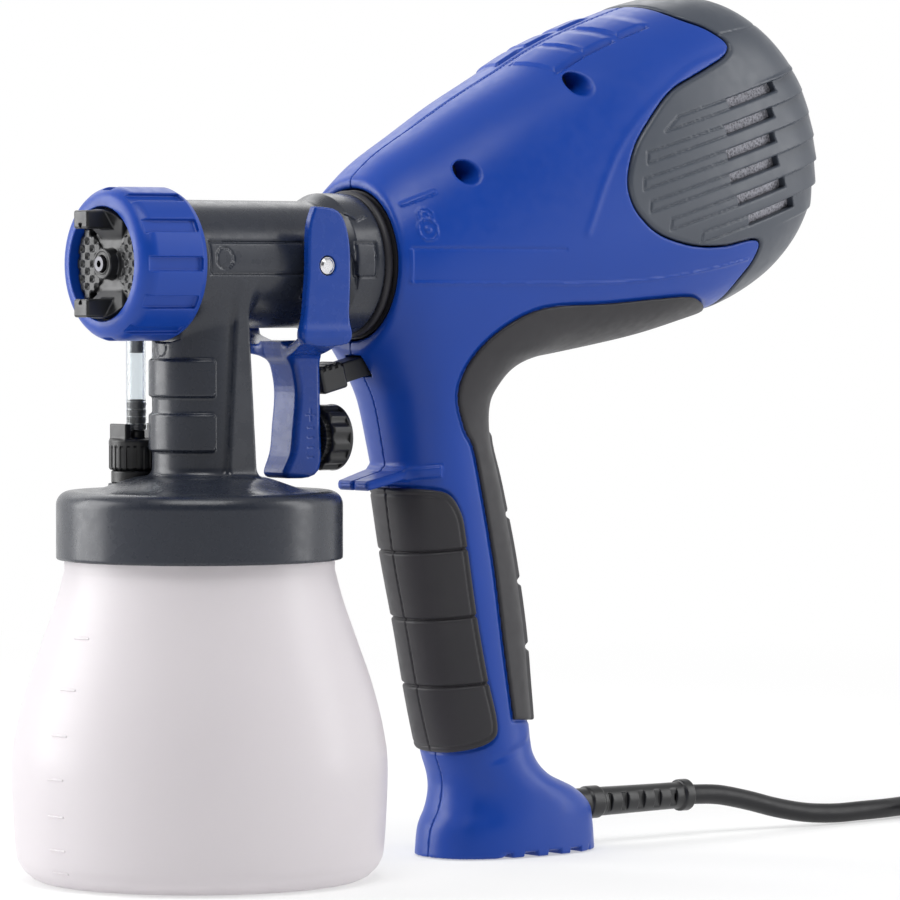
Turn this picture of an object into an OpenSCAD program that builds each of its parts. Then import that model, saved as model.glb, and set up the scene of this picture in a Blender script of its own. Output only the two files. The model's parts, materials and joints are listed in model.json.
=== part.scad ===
// Hand-held turbine paint sprayer with a screw-on cup.
// +X is the spray direction, +Y the left side, +Z up; the origin is the middle of the cup's base.
// All sizes are millimetres.

/* [Cup] */
// Largest radius of the cup
cup_r = 66; // [64:0.5:67]
// Radius of the cup's neck
neck_r = 47.5; // [46:0.5:48]
// Wall thickness of the cup
cup_wall = 1.6; // [1.2:0.1:2]

/* [Lid and barrel] */
// Outer radius of the lid
lid_r = 50.3; // [50:0.1:51]
// Height of the lid's flat top
lid_top = 136; // [136:0.5:137]
// Radius of the pillar that carries the barrel
pillar_r = 18; // [17:0.5:18.5]
// Height of the barrel's axis
axis_z = 215.3; // [215:0.1:216]
// Outer radius of the barrel
barrel_r = 22.5; // [22:0.1:23]
// Outer radius of the retaining ring
ring_r = 26.85; // [26.5:0.05:27.5]

/* [Trigger and controls] */
// Distance of the trigger's pivot behind the origin
pivot_back = 34.3; // [34:0.1:35]
// Radius of the trigger's pins
pin_r = 3; // [2.5:0.1:3.2]
// Radius of the flow knob
knob_r = 11.9; // [10:0.1:12]
// Height of the flow knob's axis
knob_z = 153.6; // [153:0.1:155]

/* [Housing] */
// Wall thickness of the housing
wall = 2.5; // [2:0.1:3]
// Upward tilt of the motor's axis towards the rear
tilt = 20; // [19.5:0.1:20.5]
// Thickness of the rubber grips
rubber_t = 1.4; // [1:0.1:1.8]
// Number of louvre slots on each side
louvres = 6; // [4:1:6]

/* [Mains cord] */
// Diameter of the cord
cord_d = 7.5; // [6.5:0.1:7.5]
// Middle radius of the cord's coil
coil_r = 41; // [38:1:42]

/* [Hidden] */
$fn = 64;
gap = 0.4;          // room between parts that move past each other
running = 0.06;     // radial clearance of a pin in its bore
body_sides = 28;
barrel_end = 14;    // front face of the barrel
pivot = [-pivot_back, 0, 214.8];
valve = [7.5, -28];
axis_v = -8;        // the motor's axis, measured across the tilted frame
turbine_r = 38.5;
shaft_r = 3;
plunger_tilt = 14;
relief_z = 15.5;
relief_end = -225;
clamp_x = -147.5;
coil_at = [-408, 12];
coil_low = 29.75;
coil_wide = 52.25;
coil_h = 15;
shell_screws = [[-95, 18, 248.3], [-146, 18, 281]];  // x, depth of the head, z
grip_screws = [[-96, 10, 118], [-106, 10, 66]];
screw_head_r = 3.4;
boss_r = 5.4;

blue = [0.05, 0.14, 0.62];
grey = [0.24, 0.27, 0.31];
dark = [0.1, 0.1, 0.11];
rubber = [0.16, 0.16, 0.17];
steel = [0.72, 0.73, 0.75];
copper = [0.72, 0.42, 0.22];
clear = [0.85, 0.88, 0.9, 0.5];

// Housing stations: top x, top z, bottom x, bottom z on the middle plane, half width, roundness.
body_rows = [
    [-66, 246, -66, 184.5, 31, 2],
    [-77, 255, -81, 176, 35, 2.1],
    [-94, 265, -105, 177, 38.5, 2.2],
    [-112, 275.5, -131, 180.5, 41.5, 2.3],
    [-131, 285.5, -158, 184.5, 44, 2.35],
    [-151, 296, -187, 189.5, 46, 2.4],
    [-168, 303, -208, 194.5, 47, 2.4],
    [-184, 308.7, -226, 199.5, 47, 2.4],
    [-199, 313.3, -240, 205.5, 46, 2.4],
    [-213, 315.8, -251, 212.5, 44, 2.4],
    [-227, 314.5, -259.5, 221.5, 41.5, 2.4],
    [-240, 308, -265, 233, 37, 2.4],
    [-252, 298, -268, 247, 28, 2.3],
    [-260.5, 284.5, -268.5, 262, 13, 2.1]];

// Handle stations: height, front x, back x, half width, roundness.
handle_rows = [
    [198, -70, -160, 31, 2.2],
    [186, -69.5, -146, 29.5, 2.2],
    [180, -70.5, -132.5, 28, 2.2],
    [173, -73.5, -125.5, 26, 2.2],
    [165, -77, -120.5, 24.2, 2.2],
    [152, -80, -121, 22.5, 2.25],
    [136, -83, -126, 21.3, 2.3],
    [110, -87.2, -133, 20.5, 2.3],
    [83, -93.3, -138, 20, 2.3],
    [60, -98.3, -140.3, 20, 2.3],
    [44, -102.5, -141.8, 20.2, 2.3],
    [36, -105, -143.5, 20.6, 2.3],
    [29, -107.5, -150, 21.2, 2.35],
    [23, -107.5, -163, 22, 2.4],
    [17, -106, -170, 22.3, 2.5],
    [10, -102.5, -172, 22.5, 2.5],
    [0, -101.2, -173, 22.5, 2.5]];

// Edge of the rear cover in the tilted frame: distance back, distance up.
cover_edge = [
    [150, 62], [151, 46], [158, 38], [162, 30], [159, 26.5], [146, 25], [132, 23], [118, 17], [107, 10],
    [100, 1], [98.5, -7], [101, -15], [108, -24], [122, -33], [137, -38.5], [147, -41], [150, -44],
    [147, -50], [142, -58], [138, -80], [240, -80], [240, 62]];

// Outlines of the rubber grips in the side view: x, z.
front_grip_edge = [
    [-60, 135.4], [-86, 135.2], [-95, 133.4], [-100.5, 126], [-103, 116], [-108, 90], [-113, 67], [-117.5, 49],
    [-115, 42.5], [-104, 38], [-60, 36]];
back_grip_edge = [
    [-217, 199], [-206, 202.5], [-194, 204], [-156, 201.5], [-127, 200], [-110, 193], [-99, 182],
    [-95.5, 169], [-100, 156], [-106, 146], [-115, 110], [-120.5, 77], [-123, 62], [-125, 50], [-165, 46],
    [-165, 165], [-225, 180]];

// Half of the cup's outline: radius, height.
cup_rows = [
    [cup_r - 6.5, 1.2], [cup_r - 3, 5], [cup_r - 1.2, 12], [cup_r, 38], [cup_r - 1.5, 52],
    [cup_r - 5.5, 68], [cup_r - 11, 84], [cup_r - 15.5, 97], [neck_r, 108]];
neck_top = 128;

// Free stretch of the mains cord, from the strain relief to the coil.
cord_route = [
    [-225, 0, 15.5], [-240, 0, 14.6], [-255, 0, 11.6], [-270, 0, 7.8], [-285, 0, 5], [-300, 0, 3.8],
    [-315, -0.5, 3.8], [-330, -2, 3.8], [-345, -6, 3.8], [-360, -13, 3.8], [-373, -22, 3.8],
    [-385, -30, 3.8], [-395, -34, 3.8]];

function power(v, e) = sign(v) * pow(abs(v), e);
function between(a, b, c, d, t) = (2 * b + (c - a) * t + (2 * a - 5 * b + 4 * c - d) * t * t
    + (3 * b - a - 3 * c + d) * t * t * t) / 2;
// Rows of numbers with smooth ones put between them.
function smooth(rows, steps) = let (last = len(rows) - 1) concat(
    [for (i = [0:last - 1], s = [0:steps - 1])
        between(rows[max(i - 1, 0)], rows[i], rows[i + 1], rows[min(i + 2, last)], s / steps)],
    [rows[last]]);
// Faces of a solid through rings of equal count, closed at both ends.
function ring_faces(rings, sides) = concat(
    [[for (i = [sides - 1:-1:0]) i]],
    [[for (i = [0:sides - 1]) (rings - 1) * sides + i]],
    [for (k = [0:rings - 2], i = [0:sides - 1])
        let (a = k * sides + i, b = k * sides + (i + 1) % sides) [a, b, b + sides, a + sides]]);
function body_ring(r, inset) = let (
    span = norm([r[0] - r[2], r[1] - r[3]]),
    up = [r[0] - r[2], 0, r[1] - r[3]] / span,
    middle = [r[0] + r[2], 0, r[1] + r[3]] / 2)
    [for (i = [0:body_sides - 1]) let (a = 360 * i / body_sides)
        middle + up * (span / 2 - inset) * power(sin(a), 2 / r[5])
        + [0, (r[4] - inset) * power(cos(a), 2 / r[5]), 0]];
function handle_ring(r, inset, z) = [for (i = [0:body_sides - 1]) let (a = 360 * i / body_sides)
    [(r[1] + r[2]) / 2 + ((r[1] - r[2]) / 2 - inset) * power(sin(a), 2 / r[4]),
        -(r[3] - inset) * power(cos(a), 2 / r[4]), z]];
function flat(rings) = [for (r = rings, p = r) p];

module solid_of(rings, sides) {
    polyhedron(points = flat(rings), faces = ring_faces(len(rings), sides));
}

// Skins of the motor body and the handle, moved inwards by inset.
module body_skin(inset, rows = body_rows) {
    solid_of([for (r = smooth(rows, 2)) body_ring(r, inset)], body_sides);
}

module handle_skin(inset) {
    solid_of([for (r = handle_rows) handle_ring(r, inset, r[0])], body_sides);
}

// The cavity of the motor body, which stops short of the rear end.
module inner_skin(inset) {
    inner_rows = [for (i = [0:len(body_rows) - 2]) body_rows[i]];
    body_skin(inset, inner_rows);
}

// The tilted frame of the motor: X back along the axis, Z up across it.
module on_tilt() {
    translate([-65, 0, 212]) rotate([0, -tilt, 180]) children();
}

// A turned part on the motor's axis, drawn as radius and distance back.
module turned() {
    on_tilt() translate([0, 0, axis_v]) rotate([0, 90, 0]) rotate_extrude() children();
}

module disc(r, from, to, bore = 0) {
    turned() translate([bore, from]) square([r - bore, to - from]);
}

// A cylinder along X on the barrel's axis.
module along_x(r, from, to, z = axis_z) {
    translate([from, 0, z]) rotate([0, 90, 0]) cylinder(r = r, h = to - from);
}

// Curved skins are joined here as one mesh.
module one_mesh() {
    resize([0, 0, 0]) children();
}

module side_outline(edge) {
    rotate([90, 0, 0]) linear_extrude(height = 140, center = true) polygon(edge);
}

module cover_zone(margin) {
    on_tilt() translate([-margin, 0, 0]) side_outline(cover_edge);
}

module guard_fin() {
    hull() {
        translate([-66, -9, 133]) cube([2, 18, 3]);
        translate([-92, -13, 138]) cube([2, 26, 5]);
    }
    translate([-66, -9, 129]) cube([2.4, 18, 8]);
}

module screw_bosses() {
    for (s = concat(shell_screws, grip_screws)) translate([s[0], 0, s[2]]) rotate([90, 0, 0])
        difference() {
            cylinder(r = boss_r, h = 90, center = true, $fn = 20);
            cylinder(r = 1.7, h = 100, center = true, $fn = 20);
        }
}

// Posts that the cord clamp is screwed to.
module clamp_posts() {
    for (s = [-1, 1]) translate([clamp_x, s * 11, 1]) difference() {
        cylinder(r = 3.4, h = 19.8, $fn = 20);
        translate([0, 0, 6]) cylinder(r = 1.6, h = 20, $fn = 20);
    }
}

// Recesses for the screw heads, in the left half only.
module screw_recesses() {
    for (s = shell_screws) translate([s[0], s[1], s[2]]) rotate([-90, 0, 0])
        cylinder(r1 = screw_head_r + 0.2, r2 = boss_r - 0.4, h = 26, $fn = 24);
    for (s = grip_screws) translate([s[0], s[1], s[2]]) rotate([-90, 0, 0])
        cylinder(r = screw_head_r + 0.3, h = 10, $fn = 24);
}

module housing(recessed) {
    difference() {
        union() {
            difference() {
                union() {
                    body_skin(0);
                    handle_skin(0);
                }
                inner_skin(wall);
                handle_skin(wall);
            }
            intersection() {
                screw_bosses();
                union() {
                    body_skin(1);
                    handle_skin(1);
                }
            }
            difference() {
                guard_fin();
                handle_skin(1);
            }
            foot_floor();
            clamp_posts();
        }
        along_x(27, -75, -60);
        cover_zone(gap);
        plunger_slot();
        translate([-180, 0, relief_z]) rotate([0, 90, 0]) cylinder(r = 5.6, h = 30, $fn = 32);
        if (recessed) screw_recesses();
    }
}

// The half of the housing on the left of the middle plane.
module half(recessed) {
    one_mesh() intersection() {
        housing(recessed);
        translate([-300, 0, -10]) cube([300, 80, 360]);
    }
}

module foot_floor() {
    intersection() {
        handle_skin(0.5);
        translate([-180, -30, 0]) cube([85, 60, wall]);
    }
}

module plunger_slot() {
    translate([-60, 0, 176.5]) rotate([0, plunger_tilt, 0]) translate([-25, -4.6, -4.3]) cube([25, 9.2, 8.6]);
}

module left_shell() {
    color(blue) half(true);
}

module right_shell() {
    color(blue) mirror([0, 1, 0]) half(false);
}

module front_grip() {
    color(rubber) one_mesh() intersection() {
        difference() {
            handle_skin(-rubber_t);
            handle_skin(0);
        }
        side_outline(front_grip_edge);
    }
}

module back_grip() {
    color(rubber) one_mesh() intersection() {
        difference() {
            union() {
                body_skin(-rubber_t);
                handle_skin(-rubber_t);
            }
            body_skin(0);
            handle_skin(0);
        }
        side_outline(back_grip_edge);
    }
}

module rear_cover() {
    color(grey) one_mesh() difference() {
        intersection() {
            difference() {
                body_skin(0);
                inner_skin(wall);
            }
            cover_zone(0);
        }
        on_tilt() for (i = [0:louvres - 1]) translate([161.5, 0, 13 - 8.8 * i])
            cube([35, 140, 3.8], center = true);
    }
}

module filter_foam() {
    color("white") one_mesh() intersection() {
        difference() {
            inner_skin(wall + 0.5);
            inner_skin(wall + 6);
        }
        on_tilt() translate([165, 0, -9]) cube([50, 140, 66], center = true);
    }
}

module housing_screws() {
    tip = -12;
    color(steel) for (s = concat(shell_screws, grip_screws)) translate([s[0], 0, s[2]]) rotate([-90, 0, 0]) {
        translate([0, 0, tip]) cylinder(r = 1.5, h = s[1] - tip);
        translate([0, 0, s[1]]) difference() {
            cylinder(r = screw_head_r, h = 2.4);
            for (a = [0, 90]) rotate([0, 0, a]) translate([0, 0, 2]) cube([4, 1, 2], center = true);
        }
    }
}

module motor_can() {
    color(steel) {
        disc(27, 108, 150, 25.5);
        disc(27, 106.2, 108, 8);
    }
}

module motor_end_bell() {
    color(dark) {
        disc(27, 150, 153, 25);
        disc(27, 153, 156, 8);
        disc(9, 156, 160, 8);
    }
}

module motor_mount() {
    color(rubber) disc(37, 120, 127, 27);
}

module front_bearing() {
    color(steel) disc(8, 106.2, 110, shaft_r + running);
}

module rear_bearing() {
    color(steel) disc(8, 153, 158, shaft_r + running);
}

module brushes() {
    color(dark) on_tilt() for (s = [-1, 1]) translate([146, s * 17.9, axis_v])
        cube([6, 15, 5], center = true);
}

module armature() {
    color(copper) difference() {
        disc(20, 114, 138, shaft_r);
        on_tilt() for (a = [0:30:330]) translate([126, 0, axis_v]) rotate([a, 0, 0])
            translate([0, 0, 19.5]) cube([30, 1.6, 6], center = true);
    }
}

module commutator() {
    color(copper) disc(10, 141, 151, shaft_r);
}

module motor_shaft() {
    color(steel) disc(shaft_r, 76, 160);
}

module fan_wheels() {
    color("gainsboro") for (u = [80, 93]) {
        turned() polygon([[shaft_r, u], [34.5, u], [34.5, u + 1.2], [6, u + 1.2], [6, u + 8], [shaft_r, u + 8]]);
        on_tilt() translate([u + 0.6, 0, axis_v]) for (a = [10:45:325]) rotate([a, 0, 0])
            translate([0, -0.6, 5]) cube([6.4, 1.2, 28]);
    }
}

module turbine_housing() {
    color(dark) {
        disc(turbine_r, 74, 104.2, turbine_r - 2);
        disc(turbine_r, 104.2, 106.2, 8.5);
        turned() polygon([[turbine_r - 2, 74], [turbine_r, 74], [18.5, 62], [18.5, 58], [16.5, 58], [16.5, 62.5]]);
    }
}

// A round duct that bends from the barrel's axis to the motor's, its ends longer by reach.
module duct_solid(r, reach) {
    hull() {
        along_x(r, -70 - 0.5, -70 + reach);
        on_tilt() translate([57, 0, axis_v]) rotate([0, 90, 0]) cylinder(r = r, h = 0.5 + reach);
    }
}

module outlet_duct() {
    color(dark) one_mesh() difference() {
        duct_solid(18.5, 0);
        duct_solid(16.5, 1);
    }
}

module collar_seal() {
    color(rubber) difference() {
        along_x(26.7, -71, -67);
        along_x(19.2, -72, -66);
    }
}

module switch_body() {
    color(dark) translate([-114, -8, 164]) cube([23.5, 16, 19]);
}

module switch_plunger() {
    color(dark) translate([-60, 0, 176.5]) rotate([0, plunger_tilt, 0]) {
        translate([-22, -4, -3.7]) cube([22, 8, 7.4]);
        difference() {
            translate([0, -6, -5]) cube([11, 12, 9.6]);
            for (i = [0:2]) translate([1.6 + i * 3, -7, 4]) cube([1.2, 14, 2]);
        }
    }
}

module cord_clamp() {
    color(dark) translate([clamp_x, 0, 20.8]) difference() {
        translate([-4.5, -15, 0]) cube([9, 30, 3]);
        for (s = [-1, 1]) translate([0, s * 11, -1]) cylinder(r = 1.6, h = 5);
    }
}

module clamp_screws() {
    color(steel) for (s = [-1, 1]) translate([clamp_x, s * 11, 8]) {
        cylinder(r = 1.5, h = 16);
        translate([0, 0, 15.8]) cylinder(r = 2.8, h = 1.8);
    }
}

module strain_relief() {
    color(dark) difference() {
        union() {
            along_x(5.3, relief_end, -142, relief_z);
            along_x(6.6, -159, -155, relief_z);
            along_x(6, relief_end + 44, relief_end + 50, relief_z);
            along_x(5.9, relief_end, relief_end + 4, relief_z);
        }
        for (x = [relief_end + 9:8:relief_end + 41], s = [-1, 1])
            translate([x, s * 5, relief_z]) cube([3, 3, 6], center = true);
    }
}

// Rings square to the route, kept upright because it never climbs steeply.
function route_ring(points, i, r, sides) = let (
    a = points[max(i - 1, 0)],
    b = points[min(i + 1, len(points) - 1)],
    t = (b - a) / norm(b - a),
    s = cross([0, 0, 1], t) / norm(cross([0, 0, 1], t)),
    u = cross(t, s))
    [for (k = [0:sides - 1]) points[i] + r * (cos(360 * k / sides) * s + sin(360 * k / sides) * u)];

module power_cord() {
    sides = 12;
    color(dark) solid_of([for (i = [0:len(cord_route) - 1]) route_ring(cord_route, i, cord_d / 2, sides)], sides);
}

module cord_coil() {
    color(dark) translate([coil_at[0], coil_at[1], 0]) rotate_extrude()
        translate([coil_low, 0]) square([coil_wide - coil_low, coil_h]);
}

module plug_body() {
    color(dark) translate([coil_at[0] - coil_r, coil_at[1], coil_h]) {
        translate([-12, -16, 0]) cube([24, 26, 17]);
        translate([0, -16, 8.5]) rotate([90, 0, 0]) cylinder(r1 = 7, r2 = 4.4, h = 16);
    }
}

module plug_blades() {
    color("goldenrod") translate([coil_at[0] - coil_r, coil_at[1] + 10, coil_h + 8.5])
        for (s = [-1, 1]) translate([s * 6.35 - 0.75, 0, -3.2]) cube([1.5, 17, 6.4]);
}

module lid() {
    rotate_extrude() polygon(concat(
        [[44, 131], [0, 131], [0, lid_top + 5], [pillar_r, lid_top + 5], [24, lid_top + 2.2], [33, lid_top + 0.6]],
        [for (a = [0:15:90]) [lid_r - 5 + 5 * sin(a), lid_top - 5 + 5 * cos(a)]],
        [[lid_r, 112], [48.6, 112], [48.6, 131]]));
}

module pillar() {
    difference() {
        intersection() {
            translate([2, 0, lid_top]) cylinder(r = pillar_r, h = 66);
            translate([-9.5, -30, lid_top - 1]) cube([40, 60, 70]);
        }
        along_x(ring_r + gap, barrel_end, barrel_end + 12);
    }
    for (z = [150, 169]) translate([2, 0, z]) intersection() {
        cylinder(r = pillar_r + 1.4, h = 13);
        translate([6, -25, 0]) cube([30, 50, 13]);
    }
    for (s = [0, 1]) mirror([0, s, 0]) translate([-4, 20, 0]) rotate([90, 0, 0])
        linear_extrude(height = 5) polygon([[-6.5, lid_top], [6.5, lid_top], [2.3, 206], [-2.3, 206]]);
}

module barrel() {
    translate([0, 0, axis_z]) rotate([0, 90, 0]) rotate_extrude() polygon([
        [0, 32.6], [21.4, 32.6], [21.4, barrel_end], [barrel_r, barrel_end],
        [barrel_r, -45], [25.4, -51], [25.4, -63], [0, -63]]);
}

module front_body() {
    color(grey) difference() {
        union() {
            lid();
            pillar();
            barrel();
            translate([valve[0], valve[1], lid_top - 1]) cylinder(r = 10, h = 3);
        }
        difference() {
            along_x(18, -64, 8);
            along_x(6.5, -42, 9);
            translate([0, 0, 190]) cylinder(r = 6.5, h = 26);
        }
        along_x(2.4, -50, 40);
        along_x(4.5, -43, -36);
        for (a = [30:60:330]) translate([7, 0, axis_z]) rotate([a, 0, 0]) translate([0, 0, 13])
            rotate([0, 90, 0]) cylinder(r = 2.6, h = 30);
        translate([0, 0, 120]) cylinder(r = 3, h = axis_z - 120);
        translate([0, 0, 130]) cylinder(r = 4.5, h = 12);
        translate([valve[0], valve[1], 120]) cylinder(r = 2.5, h = 30);
        translate([valve[0], valve[1], lid_top + 2]) cylinder(r = 9.9, h = 12);
        along_x(4.5, 31, 33);
        for (s = [-1, 1]) {
            translate([pivot[0], s * 15, pivot[2]]) rotate([-s * 90, 0, 0]) cylinder(r = pin_r, h = 15);
            translate([-36, s * 20 - 3, axis_z - 12]) cube([6, 6, 4.4]);
            translate([-29.7, s > 0 ? 21.3 : -26.3, 211.8]) cube([40.3, 5, 11.2]);
        }
        translate([valve[0], -8, 198]) rotate([90, 0, 0]) cylinder(r = 2.5, h = 12);
    }
}

module collar_sleeve() {
    color("whitesmoke") difference() {
        along_x(23.4, -66, -63);
        along_x(19, -67, -62);
    }
}

module collar_o_ring() {
    color(dark) translate([-64.5, 0, axis_z]) rotate([0, 90, 0]) rotate_extrude()
        translate([25, 0]) circle(r = 1.5);
}

module fluid_nozzle() {
    color(steel) difference() {
        union() {
            along_x(4.5, 32.7, 39);
            along_x(2.6, 39, 42.5);
        }
        along_x(1.2, 30, 45);
        translate([31, 0, axis_z]) rotate([0, 90, 0]) cylinder(r1 = 3, r2 = 1.2, h = 8);
    }
}

module nozzle_seal() {
    color("white") difference() {
        along_x(4.5, 32.6 - 1.6, 32.6);
        along_x(2.4, 30, 34);
    }
}

module needle() {
    color(steel) {
        along_x(1.1, -48, 38.6);
        along_x(5.5, -51, -48);
    }
}

module needle_spring() {
    color(steel) difference() {
        along_x(4, -62, -53.4);
        along_x(3.2, -63, -53);
    }
}

module packing_nut() {
    color("goldenrod") difference() {
        along_x(4.5, -43, -36.5);
        along_x(1.3, -44, -36);
    }
}

module horn(side) {
    hull() {
        translate([49.2, -3, axis_z + side * 14.8 - 2.8]) cube([1, 6, 5.6]);
        translate([38, -4.5, axis_z + side * 14.8 - 3.8]) cube([0.6, 9, 7.6]);
    }
    hull() {
        translate([38, -3.5, axis_z + side * 14 - 2.5]) cube([8.5, 7, 5]);
        translate([38, -2, axis_z + side * 6.5 - 1.5]) cube([2.8, 4, 3]);
    }
}

module air_cap() {
    color(dark) difference() {
        union() {
            along_x(21.4, 33, 36.9);
            along_x(19, 36.9, 38.4);
            along_x(5.4, 38.4, 41.7);
            horn(1);
            horn(-1);
        }
        along_x(5, 30, 39.5);
        along_x(3, 38, 45);
        for (y = [-10.5, 10.5], z = [-10.8, 10.8]) translate([30, y, axis_z + z]) rotate([0, 90, 0])
            cylinder(r = 1.1, h = 12);
        for (s = [-1, 1]) translate([48, 0, axis_z + s * 12]) rotate([0, s * -50, 0]) cylinder(r = 0.8, h = 12, center = true);
    }
}

module retaining_ring() {
    color(blue) difference() {
        translate([0, 0, axis_z]) rotate([0, 90, 0]) rotate_extrude() polygon(concat(
            [[22, barrel_end + 0.5], [22, 37.2], [19.5, 37.2], [19.5, 40.8], [20.3, 41.5]],
            [for (a = [0:15:90]) [ring_r - 6 + 6 * sin(a), 35.5 + 6 * cos(a)]],
            [[ring_r, 17], [ring_r - 1.2, barrel_end + 0.5]]));
        for (a = [0:30:330]) translate([17.1, 0, axis_z]) rotate([a, 0, 0]) translate([0, -2.5, ring_r - 1.5])
            cube([22.4, 5, 6]);
    }
}

// Side view of one trigger arm: x, z.
arm_edge = [
    [-29, 235.5], [-39, 234], [-43.5, 226], [-44.5, 214], [-44, 199], [-43, 190], [-24, 190],
    [-25, 200], [-26, 212], [-26.5, 228]];
// Side view of the finger part: x, z.
finger_edge = [
    [-31, 188], [-40, 187.5], [-46.8, 185.5], [-47.6, 176], [-47.8, 160], [-47.4, 142], [-36, 139.5], [-33, 141.5], [-36, 149],
    [-37.5, 158], [-37.5, 170], [-35, 180]];
finger_half = 8;
channel_half = 6.6;
arm_in = 25.8;
arm_t = 3.6;

// The finger part is a channel open to the rear, with a block that pushes the switch plunger.
module finger() {
    difference() {
        translate([0, finger_half, 0]) rotate([90, 0, 0]) linear_extrude(height = 2 * finger_half)
            polygon(finger_edge);
        translate([-60, -channel_half, 143]) cube([19.5, 2 * channel_half, 40]);
    }
    translate([-46.9, -channel_half - 0.5, 171]) cube([6.9, 2 * channel_half + 1, 13]);
    along_x(6, -48, -40, knob_z);
}

module trigger() {
    color(blue) difference() {
        union() {
            for (s = [0, 1]) mirror([0, s, 0]) {
                translate([0, arm_in + arm_t, 0]) rotate([90, 0, 0]) linear_extrude(height = arm_t) polygon(arm_edge);
                hull() {
                    translate([-43, arm_in, 189]) cube([19, arm_t, 2]);
                    translate([-46.5, 3, 182.5]) cube([15.5, arm_t, 3]);
                }
            }
            finger();
            for (s = [-1, 1]) translate([-35.5, s * 24 - 2.2, axis_z - 11.5]) cube([2.4, 4.4, 3.4]);
        }
        translate([pivot[0], 0, pivot[2]]) rotate([90, 0, 0])
            cylinder(r = pin_r + running, h = 70, center = true);
        along_x(shaft_r, -49, -37, knob_z);
    }
}

module trigger_pins() {
    color(steel) for (s = [0, 1]) mirror([0, s, 0]) translate([pivot[0], 18.5, pivot[2]]) rotate([-90, 0, 0]) {
        cylinder(r = pin_r, h = 10.6);
        translate([0, 0, 10.6]) cylinder(r1 = pin_r - 0.2, r2 = pin_r - 1, h = 0.6);
    }
}

module knob_stud() {
    color(steel) along_x(shaft_r, -58, -37, knob_z);
}

module flow_knob() {
    color(dark) difference() {
        union() {
            along_x(knob_r, -59, -50.4, knob_z);
            along_x(knob_r - 2.2, -50.4, -48.3, knob_z);
        }
        along_x(shaft_r + running, -58.2, -48, knob_z);
        for (a = [0:30:330]) translate([-60, 0, knob_z]) rotate([a, 0, 0]) translate([0, 0, knob_r + 1.2])
            rotate([0, 90, 0]) cylinder(r = 2.2, h = 9.6);
    }
}

module cup() {
    outer = concat([[0, 0], [cup_r - 12, 0]], smooth(cup_rows, 3), [[neck_r, neck_top]]);
    inner = concat([[neck_r - cup_wall, neck_top]],
        [for (r = [len(cup_rows) * 3 - 3:-1:0]) let (p = smooth(cup_rows, 3)[r]) [p[0] - cup_wall, max(p[1], 3)]],
        [[0, 3]]);
    color([0.93, 0.93, 0.95, 0.8]) rotate_extrude() polygon(concat(outer, inner));
}

module cup_gasket() {
    color("white") difference() {
        translate([0, 0, neck_top + gap]) cylinder(r = 47.6, h = 131 - neck_top - gap);
        translate([0, 0, neck_top]) cylinder(r = 44.2, h = 5);
    }
}

module pickup_tube() {
    color(clear) difference() {
        translate([0, 0, 6]) cylinder(r = 4.4, h = 134);
        translate([0, 0, 5]) cylinder(r = 3, h = 140);
    }
}

module valve_base() {
    color(dark) translate([valve[0], valve[1], lid_top + 2]) difference() {
        union() {
            cylinder(r = 9, h = 4.4);
            cylinder(r = 7.4, h = 7);
        }
        translate([0, 0, -1]) cylinder(r = 2.5, h = 10);
    }
}

module valve_diaphragm() {
    color("white") translate([valve[0], valve[1], lid_top + 9]) cylinder(r = 7, h = 1);
}

module valve_cap() {
    color(dark) translate([valve[0], valve[1], 142.6]) difference() {
        union() {
            cylinder(r = 9.8, h = 11);
            for (s = [-1, 1]) translate([s * 7 - 1.2, -5, 11]) cube([2.4, 10, 5.4]);
            cylinder(r = 2.9, h = 14);
            cylinder(r = 2.35, h = 25);
        }
        translate([0, 0, -1]) cylinder(r = 7.7, h = 8);
        translate([0, 0, -1]) cylinder(r = 1.4, h = 30);
    }
}

module air_hose() {
    color(clear) translate([valve[0], valve[1], 156.8]) difference() {
        cylinder(r = 3.6, h = 36);
        translate([0, 0, -1]) cylinder(r = 2.4, h = 40);
    }
}

module hose_barb() {
    color(dark) difference() {
        union() {
            translate([valve[0], valve[1], 184]) cylinder(r = 2.35, h = 16);
            translate([valve[0], valve[1], 193.2]) cylinder(r = 4.2, h = 9);
            translate([valve[0], -12, 198]) rotate([90, 0, 0]) cylinder(r = 2.5, h = 16);
        }
        translate([valve[0], valve[1], 183]) cylinder(r = 1.4, h = 15);
    }
}

left_shell();
right_shell();
front_grip();
back_grip();
rear_cover();
filter_foam();
housing_screws();
motor_can();
motor_end_bell();
motor_mount();
front_bearing();
rear_bearing();
brushes();
armature();
commutator();
motor_shaft();
fan_wheels();
turbine_housing();
outlet_duct();
collar_seal();
switch_body();
switch_plunger();
cord_clamp();
clamp_screws();
strain_relief();
power_cord();
cord_coil();
plug_body();
plug_blades();
front_body();
collar_sleeve();
collar_o_ring();
fluid_nozzle();
nozzle_seal();
needle();
needle_spring();
packing_nut();
air_cap();
retaining_ring();
trigger();
trigger_pins();
knob_stud();
flow_knob();
cup();
cup_gasket();
pickup_tube();
valve_base();
valve_diaphragm();
valve_cap();
air_hose();
hose_barb();
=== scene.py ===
"""Looks of the hand-held turbine paint sprayer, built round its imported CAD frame.

Shapes of moulded pieces are signed distance fields in millimetres (negative inside), meshed on a grid.
"""

import json
import math

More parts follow.
